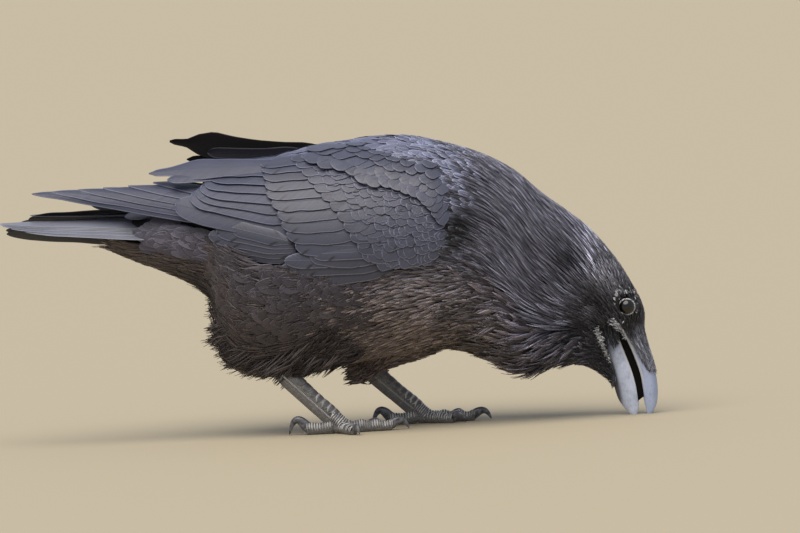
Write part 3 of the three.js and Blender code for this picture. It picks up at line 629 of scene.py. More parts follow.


# Browner colours for the feathers low down: partly the belly feathers' own duller colour, partly painted warm
# light bounced up from below.
BELLY_BROWN_AND_BOUNCE = ("#443c3a", "#665d5a")
covert_vane = feather_material("covert feather, glossy black", "#424557", "#787c94", rough=0.4,
                               gloss=0.6, sheen=0.2, splits=0.4, shadow_line_mm=0.45)
flight_vane = feather_material("flight feather, satin black", "#42465b", "#777c96", rough=0.4,
                               gloss=0.45, barb_mm=0.8, sheen=0.15, shadow_line_mm=0.45, relief=0.5,
                               under=("#2b2420", "#5a5049"))
tail_vane = feather_material("tail feather, black with a grey sheen", "#63656f", "#8f919c", rough=0.34,
                             gloss=0.9, barb_mm=0.8, sheen=0.15, shadow_line_mm=0.35, relief=0.5)
scapular_vane = feather_material("scapular feather, glossy black", "#4b4e62", "#7d8198", rough=0.36,
                                 gloss=0.8, sheen=0.2, shadow_line_mm=0.35, highlight_rim_mm=1.0, under=BELLY_BROWN_AND_BOUNCE)
neck_vane = feather_material("neck feather, silky black", "#4b4c5a", "#999aac", rough=0.38, gloss=0.5,
                             barb_mm=0.7, under=BELLY_BROWN_AND_BOUNCE, shadow_line_mm=0.1, highlight_rim_mm=0.4, blotch=0.1)
belly_vane = feather_material("belly feather, soft black", "#454450", "#666575", rough=0.6,
                              gloss=0.25, barb_mm=0.6, under=("#49413e", "#625955"), sheen=0.15,
                              shadow_line_mm=0.1, highlight_rim_mm=0.8, relief=0.25, blotch=0.35)
throat_vane = feather_material("throat hackle, violet black", "#504e5e", "#acaac4", rough=0.34, gloss=0.5,
                               under=("#564c47", "#94877f"), barb_mm=0.8, shadow_line_mm=0.12, highlight_rim_mm=0.6)
face_vane = feather_material("face feather, velvet black", "#3d3c42", "#71727b", rough=0.42,
                             gloss=0.35, barb_mm=0.6, shadow_line_mm=0.1, highlight_rim_mm=0.3)
bristle_vane = feather_material("nasal bristle, black with a grey light", "#393a42", "#7b7e8a",
                                rough=0.34, gloss=0.6, barb_mm=0.6, shadow_line_mm=0.1, highlight_rim_mm=0.3)


# ---------------------------------------------------------------- camera, floor and lights

MM_PER_PIXEL = 0.88
FRAME_WIDTH, FRAME_HEIGHT = 800, 533  # in pixels
FLOOR_PIXEL = (345, 430)  # where x = 0 on the middle line of the floor shows
ELEVATION = math.radians(3)
ROLL = math.radians(3.1)
CAMERA_DISTANCE = 7.0  # in metres
SENSOR = 36.0  # its width in mm
FLOOR_RADIUS = 60  # in metres

up = Vector((0, math.sin(ELEVATION), math.cos(ELEVATION)))
image_right = Vector((1, 0, 0)) * math.cos(ROLL) - up * math.sin(ROLL)
image_up = Vector((1, 0, 0)) * math.sin(ROLL) + up * math.cos(ROLL)
away = Vector((0, -math.cos(ELEVATION), math.sin(ELEVATION)))
centre = (FRAME_WIDTH / 2 - FLOOR_PIXEL[0]) * image_right + (FLOOR_PIXEL[1] - FRAME_HEIGHT / 2) * image_up
target = (centre * MM_PER_PIXEL + Vector((SHIFT, 0, 0))) / 1000
camera_data = bpy.data.cameras.new("camera")
camera_data.sensor_width = SENSOR
camera_data.lens = SENSOR * CAMERA_DISTANCE / (FRAME_WIDTH * MM_PER_PIXEL / 1000)
camera_data.clip_end = 200
camera = bpy.data.objects.new("camera", camera_data)
camera.matrix_world = Matrix.Translation(target + away * CAMERA_DISTANCE) @ Matrix(
    (image_right, image_up, away)).transposed().to_4x4()
link(camera)
bpy.context.scene.camera = camera
bpy.context.scene.view_settings.view_transform = "Standard"

floor_mesh = bpy.data.meshes.new("floor")
builder = bmesh.new()
bmesh.ops.create_circle(builder, cap_ends=True, radius=FLOOR_RADIUS, segments=64)
builder.to_mesh(floor_mesh)
builder.free()
floor = bpy.data.objects.new("floor", floor_mesh)
link(floor)
paint = finish(new_material("floor, matt painted")[0], {"Base Color": linear("#b2a78e"), "Roughness": 0.9})
floor_mesh.materials.append(paint)

world = bpy.data.worlds.new("studio")
world.use_nodes = True
world.node_tree.nodes["Background"].inputs[0].default_value = linear("#dbe3f4")
world.node_tree.nodes["Background"].inputs[1].default_value = 0.62
bpy.context.scene.world = world

# One wide soft light from above, like a bright patch of an overcast sky.
sky = bpy.data.lights.new("overhead softbox", "SUN")
sky.energy = 3.0
sky.angle = math.radians(58)
sky.color = linear("#fff6ea")[:3]
sky_object = bpy.data.objects.new("overhead softbox", sky)
sky_object.rotation_euler = Vector((0.2, 0.46, -1.0)).to_track_quat("-Z", "Y").to_euler()
link(sky_object)


# ---------------------------------------------------------------- skin

def smoothed(builder, times):
    """Evens out a mesh a number of times."""
    for _ in range(times):
        bmesh.ops.smooth_vert(builder, verts=builder.verts, factor=0.5,
                              use_axis_x=True, use_axis_y=True, use_axis_z=True)


def merged_copy(name, node_names, voxel, smoothing, depth, material, slot):
    """One closed skin round CAD nodes, set in from their outside by depth(point) in mm."""
    builder = bmesh.new()
    for node_name in node_names:
        builder.from_mesh(NODES[node_name].data)
    bmesh.ops.remove_doubles(builder, verts=builder.verts, dist=1e-6)
    mesh = bpy.data.meshes.new(name)
    builder.to_mesh(mesh)
    builder.free()
    obj = bpy.data.objects.new(name, mesh)
    link(obj)
    remesh = obj.modifiers.new("remesh", "REMESH")
    remesh.mode = "VOXEL"
    remesh.voxel_size = voxel / 1000
    solid = bpy.data.meshes.new_from_object(obj.evaluated_get(bpy.context.evaluated_depsgraph_get()))
    obj.modifiers.clear()
    builder = bmesh.new()
    builder.from_mesh(solid)
    smoothed(builder, smoothing)
    builder.normal_update()
    moves = [v.normal * depth(v.co * 1000 - Vector((SHIFT, 0, 0))) / 1000 for v in builder.verts]
    for v, move in zip(builder.verts, moves):
        v.co -= move
    smoothed(builder, 2)
    obj.data = smooth_mesh(name, builder, material)
    return place(obj, node_names, slot)


down_skin = mottled_material("skin under the coat, dark down", "#0e0c0c", "#221e1e", 160.0,
                             {"Roughness": 0.8})


def coat_depth(p):
    """How deep the skin lies under the outside of the coat."""
    if p.x > 225 and p.z < 150:
        return 1.6
    return 4.5 if p.x > 120 else 6.0


flesh = ["trunk", "neck", "head", "thigh_right", "thigh_left"]
merged_copy("body_skin", flesh, 2.6, 4, coat_depth, down_skin, "body_plumage")


# ---------------------------------------------------------------- coat of the body

def wing_front(angle):
    """How far forward the closed wing reaches at an angle on the hull. Its bend slants back below."""
    return np.interp(angle, [-14, -6, 4, 14], [76, 87, 94, 97])


def outside_wing(p, *_):
    """True where the closed wing doesn't lie over the body."""
    x = p[..., 0]
    angle = np.degrees(hull_angle(p))
    lower = np.interp(x, [-200, -160, -112, -60, 50, 76, 95, 105], [24, 8, -4, -11, -11, -4, 0, 8])
    upper = np.interp(x, [-200, -160, -60, 20, 66, 82, 95], [84, 80, 74, 70, 60, 40, 16])
    return ~((x > -205) & (x < wing_front(angle)) & (angle > lower) & (angle < upper))


def off_eye(p):
    """True outside the eye and its lids."""
    return np.hypot(np.hypot(p[..., 0] - EYE.x, p[..., 2] - EYE.z), (np.abs(p[..., 1]) - 23) * 0.7) > 8.0


def off_bill(p):
    """False where the bare bill shows in front of the feathers of the face."""
    x, z = p[..., 0], p[..., 2]
    jaw = np.interp(z, [16, 25, 42, 58, 76, 84], [248, 241.5, 238, 232.5, 227, 240])
    nose = np.interp(z, [38, 41.5, 52.5, 66, 79, 84], [300, 266.5, 260, 254, 247, 240])
    return ~((z < 84) & (x > jaw) & (x < nose))


def nape_edge(t):
    """How far below the widest line the nape's feathers reach over the throat's, in degrees."""
    return np.interp(t, [10.5, 12, 13, 14.3, 17, 18.5], [6, 8, 15, 23, 34, 50])


def lie(t, a):
    """The nape's feathers turn up towards the back and the throat's turn down, so that they part."""
    above = np.clip((nape_edge(t) - below(a)) / 8, -1, 1)
    turn = np.where(above > 0, 0.3 * above, 0.36 * above)
    return np.cos(a) * (turn * np.clip((t - 9.4) / 2, 0, 1) * np.clip((18.5 - t) / 2, 0, 1))


def brown(t, a):
    """Share of the belly's brown: all of it low down and behind, and less forward and up. It is partly the
    feathers' own duller colour and partly painted warm light bounced up from below.
    """
    return 0.5 + 0.75 * np.sin(np.radians(below(a))) - 0.12 * (t - 7)


# Spots that change the tone of the head and neck. Most are painted light: the bright ones paint the crown's
# sheen, and the dark ones paint shade in the hollows of the face and at the wing's bend. The pale ear patch
# is the plumage's own.
HEAD_SPOTS_SHEEN_AND_SHADE = [(239, 121, 14, 3.9), (231, 146, 14, 1.1), (213, 133, 12, -0.85), (230, 104, 14, -0.5),
              (247, 119, 5, -0.9), (222, 91, 5, 1.6), (205, 106, 9, 0.5), (116, 168, 21, -1.2),
              (212, 72, 16, -0.4)]  # x, z, radius and change of tone


def head_sheen_and_shade(t, a):
    """How the spots of the head change the tone of its feathers: painted sheen where they make it paler, and
    painted shade where they make it darker.
    """
    p = trunk.at(t, a)
    tone = 1 + sum(change * np.exp(-((p[..., 0] - x) ** 2 + (p[..., 2] - z) ** 2) / radius ** 2)
                   for x, z, radius, change in HEAD_SPOTS_SHEEN_AND_SHADE)
    return np.maximum(tone, 0.1)


coat = Blades()
tract(coat, stations=(14.2, 21), angles=(-90, 270), row=3.3, gap=0.8, length=lambda t, a: 9 - (t - 15) * 0.6,
      half=0.5, jitter=0.5, depth=1.4, rise=0.3, arch=0.14, thick=0.18, wander=0.1, swirl=lie,
      tone=head_sheen_and_shade, spread_tone=0.5, fade=(1.0, 0), keep=lambda p, t, a: off_eye(p) & off_bill(p))
coat.build("coat_head", face_vane, FINE, "body_plumage")

for side, angles in ((RIGHT, (89, 236)), (LEFT, (-56, 91))):
    name = SIDE_NAMES[side]
    fringe = lambda t, a: np.clip(1 - (nape_edge(t) - below(a)) / 12, 0, 1) * np.clip((t - 10.8) / 0.8, 0, 1)
    coat = Blades()
    tract(coat, stations=(8.8, 15.6), angles=angles, row=7.5,
          gap=lambda t, a: 0.78 + 0.3 * np.clip(10.5 - t, 0, 2),
          half=lambda t, a: 0.52 + 0.3 * np.clip(11 - t, 0, 2), jitter=0.5, steps=5,
          length=lambda t, a: (23 - 1.5 * np.abs(t - 11)) * (1 + 0.5 * fringe(t, a)), depth=2.0,
          rise=lambda t, a: 0.5 + 5.0 * fringe(t, a), arch=0.2, thick=0.22, swirl=lie,
          tone=lambda t, a: head_sheen_and_shade(t, a) * (1.22 + 0.8 * fringe(t, a)), spread_tone=0.65,
          warm=lambda t, a: brown(t, a) * 0.7, fade=(1.6, 1.0), wander=0.03, locks=(24, 0.05),
          keep=lambda p, t, a: (below(a) < nape_edge(t)) & outside_wing(p))
    coat.build(f"coat_neck_{name}", neck_vane, FINE, "body_plumage")


def throat_tone_shaded_under_nape(t, a):
    """The throat's feathers are painted darker where the nape's lie over them: painted shade under the nape's
    feathers.
    """
    covered = below(a) < nape_edge(t) + 4
    return np.interp(t, [10.5, 12.5, 15, 18], [1.0, 1.5, 1.35, 0.9]) * (1 - 0.5 * covered)


coat = Blades()
tract(coat, stations=(10.2, 18.8), angles=(-176, -4), row=7, gap=1.7, kind="hackle", depth=3.0, rise=0.6,
      steps=6, arch=0.25, thick=0.2, swirl=lie, jitter=0.5, wander=0.12, locks=(17, 0.32), spread_tone=0.7,
      fade=(0.8, 0), length=lambda t, a: 32 - (t - 10) * 2.0, half=lambda t, a: 2.1 - (t - 10) * 0.12,
      loose=lambda t, a: np.interp(t, [10, 12, 16, 18], [3, 6, 6, 1.5]),
      warm=lambda t, a: brown(t, a) + np.interp(t, [11, 13.5], [0.25, 0.08]), tone=throat_tone_shaded_under_nape,
      keep=lambda p, t, a: (below(a) > nape_edge(t) - 5) & off_bill(p))
coat.build("coat_throat", throat_vane, FINE, "body_plumage")

mantle_half = lambda t, a: np.interp(t, [6, 7.5, 8.8, 10.2], [7.4, 6.0, 4.0, 2.2])
coat = Blades()
# The mantle's tone is raised 2.1 times: painted sheen, the light from above reflected off the top of the
# back.
tract(coat, stations=(5.6, 10.2), angles=(2, 178), row=lambda t, a: 1.35 * mantle_half(t, a),
      gap=lambda t, a: 1.5 * mantle_half(t, a), length=lambda t, a: 4.2 * mantle_half(t, a) + 3,
      half=mantle_half, kind="round", depth=2.2, rise=0.3, steps=8, arch=0.25, thick=0.2, jitter=0.4,
      swirl=lie,
      keep=lambda p, t, a: outside_wing(p) & ((t > 7.8) | (below(a) < -20)),
      spread_tone=0.25, tone=lambda t, a: 2.1 * head_sheen_and_shade(t, a), warm=lambda t, a: brown(t, a) - 0.3,
      fade=(0, 1.2), wander=0.16)
tract(coat, stations=(1.2, 6.0), angles=(50, 130), row=6, gap=6, length=22, half=5.6, kind="round", steps=8,
      arch=0.35, thick=0.35, keep=outside_wing, jitter=0.2)
coat.build("coat_mantle", scapular_vane, MEDIUM, "body_plumage")

coat = Blades()
# The breast is painted paler the further down it faces: painted light, standing in for light bounced up into
# its shade.
for flank in ((-92, 16), (164, 272)):
    tract(coat, stations=(7.2, 11.4), angles=flank, row=6, gap=2.1, length=17, half=1.7, depth=2.4,
          rise=0.4, thick=0.14, arch=0.12, kind="hackle", steps=6, keep=outside_wing, jitter=0.5,
          loose=0.5, swirl=lie, wander=0.1, spread_tone=0.4, warm=lambda t, a: brown(t, a) + 0.2,
          tone=lambda t, a: np.interp(below(a), [0, 10, 40, 80], [1.6, 2.6, 3.7, 6.2]) * head_sheen_and_shade(t, a),
          fade=(1.2, 1.0), locks=(14, 0.1))
coat.build("coat_breast", neck_vane, FINE, "body_plumage")


def off_tail(p, t, a):
    """True outside the wing and away from the root of the tail."""
    return outside_wing(p) & ((t > 2.1) | (below(a) > 16))


def belly_tone(t, a):
    """Paler under the tail, and paler low down in front of the legs, where the paleness is painted light
    bounced up into the shade.
    """
    low = np.clip((below(a) - 40) / 40, 0, 1) * np.clip(t - 4.8, 0, 2.9)
    return np.interp(t, [2.2, 3.4], [1.8, 1.1]) * (1 + low)


# x and z of the ragged tips of the coat behind and under the belly, how steeply they hang, and their side.
CLUMPS = [
    (-111, 122, 0.2, 0), (-111, 110, 0.2, 0), (-113, 94, 0.25, 0), (-114, 83, 0.3, 0), (-107, 72, 0.4, 0),
    (-100, 62, 0.45, 0), (-87, 55, 0.5, 0), (-74, 51, 0.6, RIGHT), (-54, 60, 0.8, RIGHT),
    (-38, 52, 0.9, RIGHT), (-25, 52, 1.0, RIGHT), (-12, 58, 1.0, 0), (2, 46, 0.4, LEFT),
    (4, 40, 0.35, LEFT), (15, 40, 0.5, LEFT), (23, 46, 0.6, LEFT)]
CLUMP_HAIRS = 100
# How long the hairs of a clump are, in mm, and how pale those are that show only on the left side. That
# paleness is painted light in the shade of the far side.
CLUMP_LENGTH, LEFT_CLUMP_LENGTH = (17, 34), (10, 14)
LEFT_CLUMP_PAINTED_LIGHT = 5.0
for side, angles in ((RIGHT, (150, 274)), (LEFT, (-94, 30))):
    coat = Blades()
    ragged = lambda t, a: 0.8 + 5 * np.clip((below(a) - 30) / 45, 0, 1) * np.exp(-((t - 4.6) / 1.2) ** 2)
    tract(coat, stations=(0.6, 8.8), angles=angles, row=7.5, gap=1.9, length=26, half=1.7, depth=3.0,
          rise=0.4, steps=6, arch=0.2, thick=0.15, keep=off_tail, loose=ragged, wander=0.08,
          locks=(22, 0.18), jitter=0.5, spread_tone=0.3, tone=belly_tone, warm=brown, fade=(0, 1.4))
    # Pale loose wisps over the flank.
    tract(coat, stations=(4.0, 6.0), angles=(170, 205) if side == RIGHT else (-25, 10), row=14, gap=9,
          length=24, half=0.45, depth=1.5, rise=0.8, steps=6, arch=0.1, thick=0.2, tone=2.2, warm=0.5,
          wander=0.3, loose=1.0)
    # The far thigh is painted much paler than the near one: painted light in the shade under the body.
    thigh = Thigh(side)
    tract(coat, surface=thigh, stations=(0.3, 3.7), angles=(-180, 180), row=6.5, gap=1.8, length=18, half=1.4,
          depth=2.6, rise=0.4, steps=5, arch=0.25, thick=0.18, loose=1.0, wander=0.1, locks=(14, 0.12),
          warm=1.0, keep=lambda p, t, a: (t < 2.9) | (np.sin(a) > -0.2), spread_tone=0.35, jitter=0.5,
          tone=1.15 if side == RIGHT else 6.5)
    for x, z, steep, owner in CLUMPS:
        if owner == -side:
            continue
        n = CLUMP_HAIRS
        lane = rng.uniform(0, 46, n) if not owner else rng.uniform(18, 54, n)
        lengths = LEFT_CLUMP_LENGTH if owner == LEFT else CLUMP_LENGTH
        # The far side's clumps are made paler: painted light.
        far_clump_painted_light = LEFT_CLUMP_PAINTED_LIGHT if owner == LEFT else 1
        tips = np.stack([x + 0.12 * lane, side * lane, z + 0.1 * lane], -1)
        tips += rng.normal(0, (3.6, 1, 2.8), (n, 3))
        inward = -side * rng.uniform(0.0, 0.4, n)
        way = unit(np.stack([np.ones(n), inward, steep + rng.normal(0, 0.2, n)], -1))
        roots = tips + way * rng.uniform(*lengths, n)[:, None]
        bend = np.linspace(0, 1, 6)[:, None]
        out = unit(np.stack([way[:, 2] * 0.5, side * (0.5 + lane / 50), -way[:, 0] * 0.5], -1))
        spine = roots[:, None] + (tips - roots)[:, None] * bend + out[:, None] * 4 * bend * (1 - bend)
        half = rng.uniform(0.6, 1.2, n)[:, None] * vane_width(bend[:, 0], "lance")
        coat.add(spine, np.repeat(out[:, None], 6, 1), half, arch=0.3, thick=0.2, roll=rng.normal(0, 0.3, n),
                 tone=(0.8 + 0.6 * rng.random(n) ** 2) * far_clump_painted_light, warm=1.0,
                 root=np.stack([0.5 + x / 400 + 0 * lane, z / 300 + lane / 400], -1))
    coat.build(f"coat_belly_{SIDE_NAMES[side]}", belly_vane, FINE, "body_plumage")

# Soft rounded feathers under the edge of the wing.
coat = Blades()
for flank in ((180, 220), (-40, 0)):
    tract(coat, stations=(3.2, 8.6), angles=flank, row=8, gap=5.2, length=20, half=5.4, kind="round",
          steps=9, depth=2.6, rise=0.5, arch=0.2, thick=0.14, jitter=0.5, wander=0.22, loose=0.5,
          spread_tone=0.14, tone=1.02, warm=lambda t, a: brown(t, a) - 0.3, keep=outside_wing,
          fade=(1.0, 1.4))
# Soft coverts over the root of the tail.
for flank in ((150, 198), (-18, 30)):
    tract(coat, stations=(1.5, 3.6), angles=flank, row=6, gap=4, length=24, half=4.6, kind="round",
          steps=9, depth=2.2, rise=0.8, arch=0.25, thick=0.2, wander=0.12, tone=1.7, warm=0.15,
          keep=outside_wing)
coat.build("coat_flank", belly_vane, MEDIUM, "body_plumage")

# ---------------------------------------------------------------- wings

# Where feathers of the wing start and end on its hull: x and degrees.
GREATER_TIPS = [(-61, 62), (-60, 56), (-59, 49), (-58, 42), (-57, 35), (-53, 28), (-48, 21), (-45, 15),
                (-41, 9), (-34, 3), (-22, -2)]
MEDIAN_TIPS = [(-34, 64), (-30, 57), (-25, 50), (-20, 44), (-15, 38), (-9, 32), (-2, 26), (4, 20), (9, 14),
               (14, 8), (20, 2), (28, -3)]
SECONDARY_TIPS = [(-137, 22), (-123, 34), (-118, 39), (-114, 44), (-110, 50), (-106, 57), (-102, 64),
                  (-98, 71), (-98, 78)]
PRIMARY_TIPS = {
    RIGHT: [(-180, 34), (-222, 38), (-263, 38), (-246, 46), (-222, 51), (-200, 56), (-178, 61), (-156, 66)],
    LEFT: [(-190, -24), (-212, -16), (-202, 0), (-222, 34), (-222, 42), (-200, 48), (-178, 55), (-156, 62)]}
PRIMARY_COVERT_TIPS = [(-96, -13), (-106, -8), (-109, -4), (-102, 2), (-88, 7)]
ALULA_ROOTS = [(50, -13), (49, -9), (48, -5), (50, -1)]
ALULA_TIPS = [(-28, -19), (-48, -14), (-44, -8), (-20, -2)]
SCAPULAR_EDGE = [(99, 0), (94, 10), (84, 21), (73, 29), (58, 34), (40, 37), (24, 42), (8, 48), (-8, 55),
                 (-24, 62), (-36, 68)]
LESSER_ROWS = 15
# x, lower and upper angle, and lift of the skin under the coverts.
ARM = [(-34, 4, 74, -8), (-10, -3, 74, -6), (30, -4, 72, -4.5), (62, -4, 68, -4.5), (84, -3, 56, -4.5),
       (96, 0, 38, -5.5), (102, 6, 20, -8)]


def spread(first, last, n):
    """Places in even steps from the first to the last."""
    first, last = np.asarray(first, float), np.asarray(last, float)
    return first + (last - first) * np.linspace(0, 1, n)[:, None]


def rows_over(edge, rows, width):
    """Places in staggered rows that start at an edge on the hull, given as x and degrees, and go forward and
    up. width(along) is the half-width of a feather at a share along the edge."""
    fine = chain(edge, np.linspace(0, len(edge) - 1, 400))
    x, angle = fine[:, 0], np.radians(fine[:, 1])
    per_radian = np.hypot(hermite(HULL, x, 2) * np.sin(angle), hermite(HULL, x, 3) * np.cos(angle))
    move_x, move_up = np.gradient(x), np.gradient(angle) * per_radian
    step = np.hypot(move_x, move_up)
    run = np.cumsum(step)
    forward = np.stack([move_up, -move_x], -1) / step[:, None]
    forward *= np.sign(forward.sum(1))[:, None]
    wide = width(run / run[-1])
    places, order, along = [], [], []
    for row in range(rows):
        ticks = np.cumsum(step / wide / 1.3)
        at = np.arange(int(ticks[-1])) + 0.25 + 0.5 * (row % 2)
        at = at + rng.uniform(-0.25, 0.25, len(at))
        index = np.searchsorted(ticks, at).clip(0, 399)
        reach = (row * 1.35 + rng.uniform(-0.3, 0.3, len(index))) * wide[index] - 2
        places.append(hull_step(fine[index], forward[index, 0] * reach, forward[index, 1] * reach))
        order.append(np.full(len(index), row))
        along.append(run[index] / run[-1])
    return np.concatenate(places), np.concatenate(order), np.concatenate(along)


def wing(side):
    """A folded wing: its skin, and its feathers from the long ones up to the scapulars."""
    name = SIDE_NAMES[side]
    node = lambda part: (f"wing_{name}_{part}",)

    # The arm under the coverts.
    rings = []
    for x, low, high, lift in chain(ARM, np.linspace(0, len(ARM) - 1, 19)):
        angle = np.radians(np.linspace(low, high, 16))
        rings.append(np.concatenate([hull(x, angle, lift, side), hull(x, angle[::-1], lift - 5, side)]))
    loft(f"wing_skin_{name}", rings, down_skin, "wing_coverts", node("coverts"))

    def long_row(row, vane, slot, roots, tips, half, first, last, **look):
        """One piece: feathers from the lowest to the highest. first and last are their lifts at root and
        tip."""
        feathers = Blades()
        on_hull(feathers, roots, tips, half, side, lift=np.linspace(first, last, len(tips)).T, **look)
        feathers.build(f"{row}_{name}", vane, BROAD, slot, node(row))

    primary_tips, count = PRIMARY_TIPS[side], len(PRIMARY_TIPS[side])
    long_row("primaries", flight_vane, "flight_feathers", spread((-62, 8), (-62, 28), count),
             primary_tips, 8.4, (-12, -12), (-8.5, -8.5), kind="finger", steps=24, arch=0.7, thick=0.7,
             roll=0.1)
    count = len(SECONDARY_TIPS)
    long_row("secondaries", flight_vane, "flight_feathers",
             spread((-20, 12), (-30, 71), count), SECONDARY_TIPS, np.linspace(12.5, 10.5, count),
             (-6, -4.2), (-4.4, -1.6), kind="flight", steps=22, bow=np.linspace(-3, 0, count), arch=0.6,
             thick=0.6, roll=0.12, tone=1.1)
    long_row("primary_coverts", covert_vane, "wing_coverts",
             spread((-30, -6), (-36, 4), 5), PRIMARY_COVERT_TIPS, [7.5, 8, 7.5, 7, 7], (-5.6, -5.4),
             (-3.6, -3.4), kind="flight", steps=18, arch=0.6, thick=0.5, roll=0.14)
    long_row("alula", covert_vane, "flight_feathers", ALULA_ROOTS, ALULA_TIPS, [6, 7, 7, 6.5], (-4.4, -3.6),
             (-2.4, -1.0), kind="flight", steps=18, arch=0.6, thick=0.5, roll=0.16)

    coverts = Blades()
    count = len(GREATER_TIPS)
    on_hull(coverts, spread((2, 66), (32, -4), count), GREATER_TIPS, 9.6, side,
            lift=np.linspace((-2.0, -0.2), (-2.6, -1.0), count).T, kind="broad", steps=18, bow=-1.0,
            arch=0.3, thick=0.32, roll=0.08)
    count = len(MEDIAN_TIPS)
    on_hull(coverts, hull_step(MEDIAN_TIPS, 32, np.linspace(4, 0, count)), MEDIAN_TIPS, 7.6, side,
            lift=(-1.8, 0.2), kind="broad", steps=12, arch=0.3, thick=0.3, roll=0.07)
    coverts.build(f"greater_coverts_{name}", covert_vane, BROAD, "wing_coverts")

    lessers = Blades()
    edge_x, edge_angle = np.array(SCAPULAR_EDGE[::-1], float).T
    tips, sizes = [], []
    reach = 0
    for row in range(LESSER_ROWS):
        size = 1 - 0.035 * row
        reach += 6.6 * size
        start = hull_step(spread((-32, 66), (24, -8), 14 + row % 2), reach, 0)
        start = start + rng.normal(0, 1, start.shape) * (1.8, 1.1)
        top = np.interp(start[:, 0], edge_x, edge_angle) + 9
        low = np.interp(start[:, 0], [0, 36, 48, 62, 84, 97, 104], [-8, -8, -14, -14, -9, -4, 2])
        held = (start[:, 1] < top) & (start[:, 1] > low) & (
            start[:, 0] < wing_front(start[:, 1]) + rng.normal(2, 1.5, len(start)))
        tips.append(start[held])
        sizes.append(size * rng.uniform(0.85, 1.25, held.sum()))
    tips, sizes = np.concatenate(tips), np.concatenate(sizes)
    on_hull(lessers, hull_step(tips, 18 * sizes, 3.5 + rng.normal(0, 2.5, len(tips))), tips, 6.9 * sizes,
            side, lift=(-1.2, 0.1), kind="broad", steps=9, arch=0.1, thick=0.18, roll=0.08, tone=1.07)
    lessers.build(f"lesser_coverts_{name}", covert_vane, MEDIUM, "wing_coverts")

    scapulars = Blades()
    width = lambda share: 4.0 + 8.0 * share
    tips, order, along = rows_over(SCAPULAR_EDGE, 5, width)
    held = (tips[:, 1] < np.interp(tips[:, 0], [-40, 10, 60], [74, 78, 84])) & (tips[:, 0] < 92)
    tips, order, along = tips[held], order[held], along[held]
    wide = width(along) * rng.uniform(0.85, 1.15, len(tips)) * (1 - 0.05 * order)
    tilt = np.radians(60 - 40 * along + rng.normal(0, 9, len(tips)))
    length = wide * 2.6
    on_hull(scapulars, hull_step(tips, length * np.cos(tilt), length * np.sin(tilt)), tips, wide, side,
            lift=(-0.8, np.where(order == 0, 2.6, 1.0)), kind="broad", steps=10, arch=0.15, thick=0.2,
            roll=0.05, tone=0.86)
    scapulars.build(f"scapulars_{name}", scapular_vane, MEDIUM, "body_plumage")


wing(RIGHT)
wing(LEFT)

# Root, tip, lean of the vane from level in degrees, half-width, shape, tone, brown.
# On the far wing the tones and the brown are painted light and shade: the same feathers as on the near side,
# made darker and browner with bounce light where they lie in shade, and the smallest made paler.
TERTIALS = {
    RIGHT: [((-40, -36, 236), (-159, -22, 235.5), 42, 11, "ragged", 1.1, 0),
            ((-40, -34, 230), (-143, -32, 229.5), 42, 7, "flight", 1.1, 0)],
    LEFT: [((8, 28, 243), (-141, 33, 261), 74, 10.5, "nib", 0.65, 1),
           ((-20, 36, 238), (-127, 42, 244), 70, 8, "ragged", 0.65, 1),
           ((-8, 25, 245), (-108, 27, 249.5), 72, 5.5, "flight", 2.4, 0.7)]}
for side, feathers in TERTIALS.items():
    tertials = Blades()
    for root, tip, lean, half, kind, tone, warm in feathers:
        face = (0, side * math.sin(math.radians(lean)), math.cos(math.radians(lean)))
        free_feather(tertials, root, tip, face, half, kind=kind, sag=1.5 * side, tone=tone, warm=warm)
    name = SIDE_NAMES[side]
    tertials.build(f"tertials_{name}", flight_vane, BROAD, "flight_feathers", (f"wing_{name}_tertials",))

# ---------------------------------------------------------------- tail

# x of each feather's tip, the near ones first.
TAIL_TIPS = [-270, -282, -289, -291, -292, -292, -266, -268, -276, -284, -289, -289]
TAIL_ROOT, TAIL_END = (-128, 196.5, 14), (-291, 198.5, 36)  # x, z and half the spread of the feathers
TAIL_DROP = np.array([(0, 14, 24), (0.3, 12.5, 24), (0.5, 10.5, 23.5), (0.72, 8.5, 21), (0.86, 6.5, 20),
                      (1, 4, 18)])  # share, near, far
NEAR_SPREAD = [-0.93, -0.78, -0.62, -0.54, -0.47, -0.4]  # where the near feathers lie in half the spread
FAR_RISE = 6  # how much higher the far half lies


def tail_height(x, y):
    """The folded tail is a low roof. Its far half lies on top and slopes away more."""
    t = (x - TAIL_ROOT[0]) / (TAIL_END[0] - TAIL_ROOT[0])
    half = TAIL_ROOT[2] + (TAIL_END[2] - TAIL_ROOT[2]) * t
    near, far = (np.interp(t, TAIL_DROP[:, 0], TAIL_DROP[:, k]) for k in (1, 2))
    drop = np.where(y < 0, near, far) * np.abs(y / half) - FAR_RISE * np.clip(y / 3, 0, 1)
    return TAIL_ROOT[1] + (TAIL_END[1] - TAIL_ROOT[1]) * t - drop


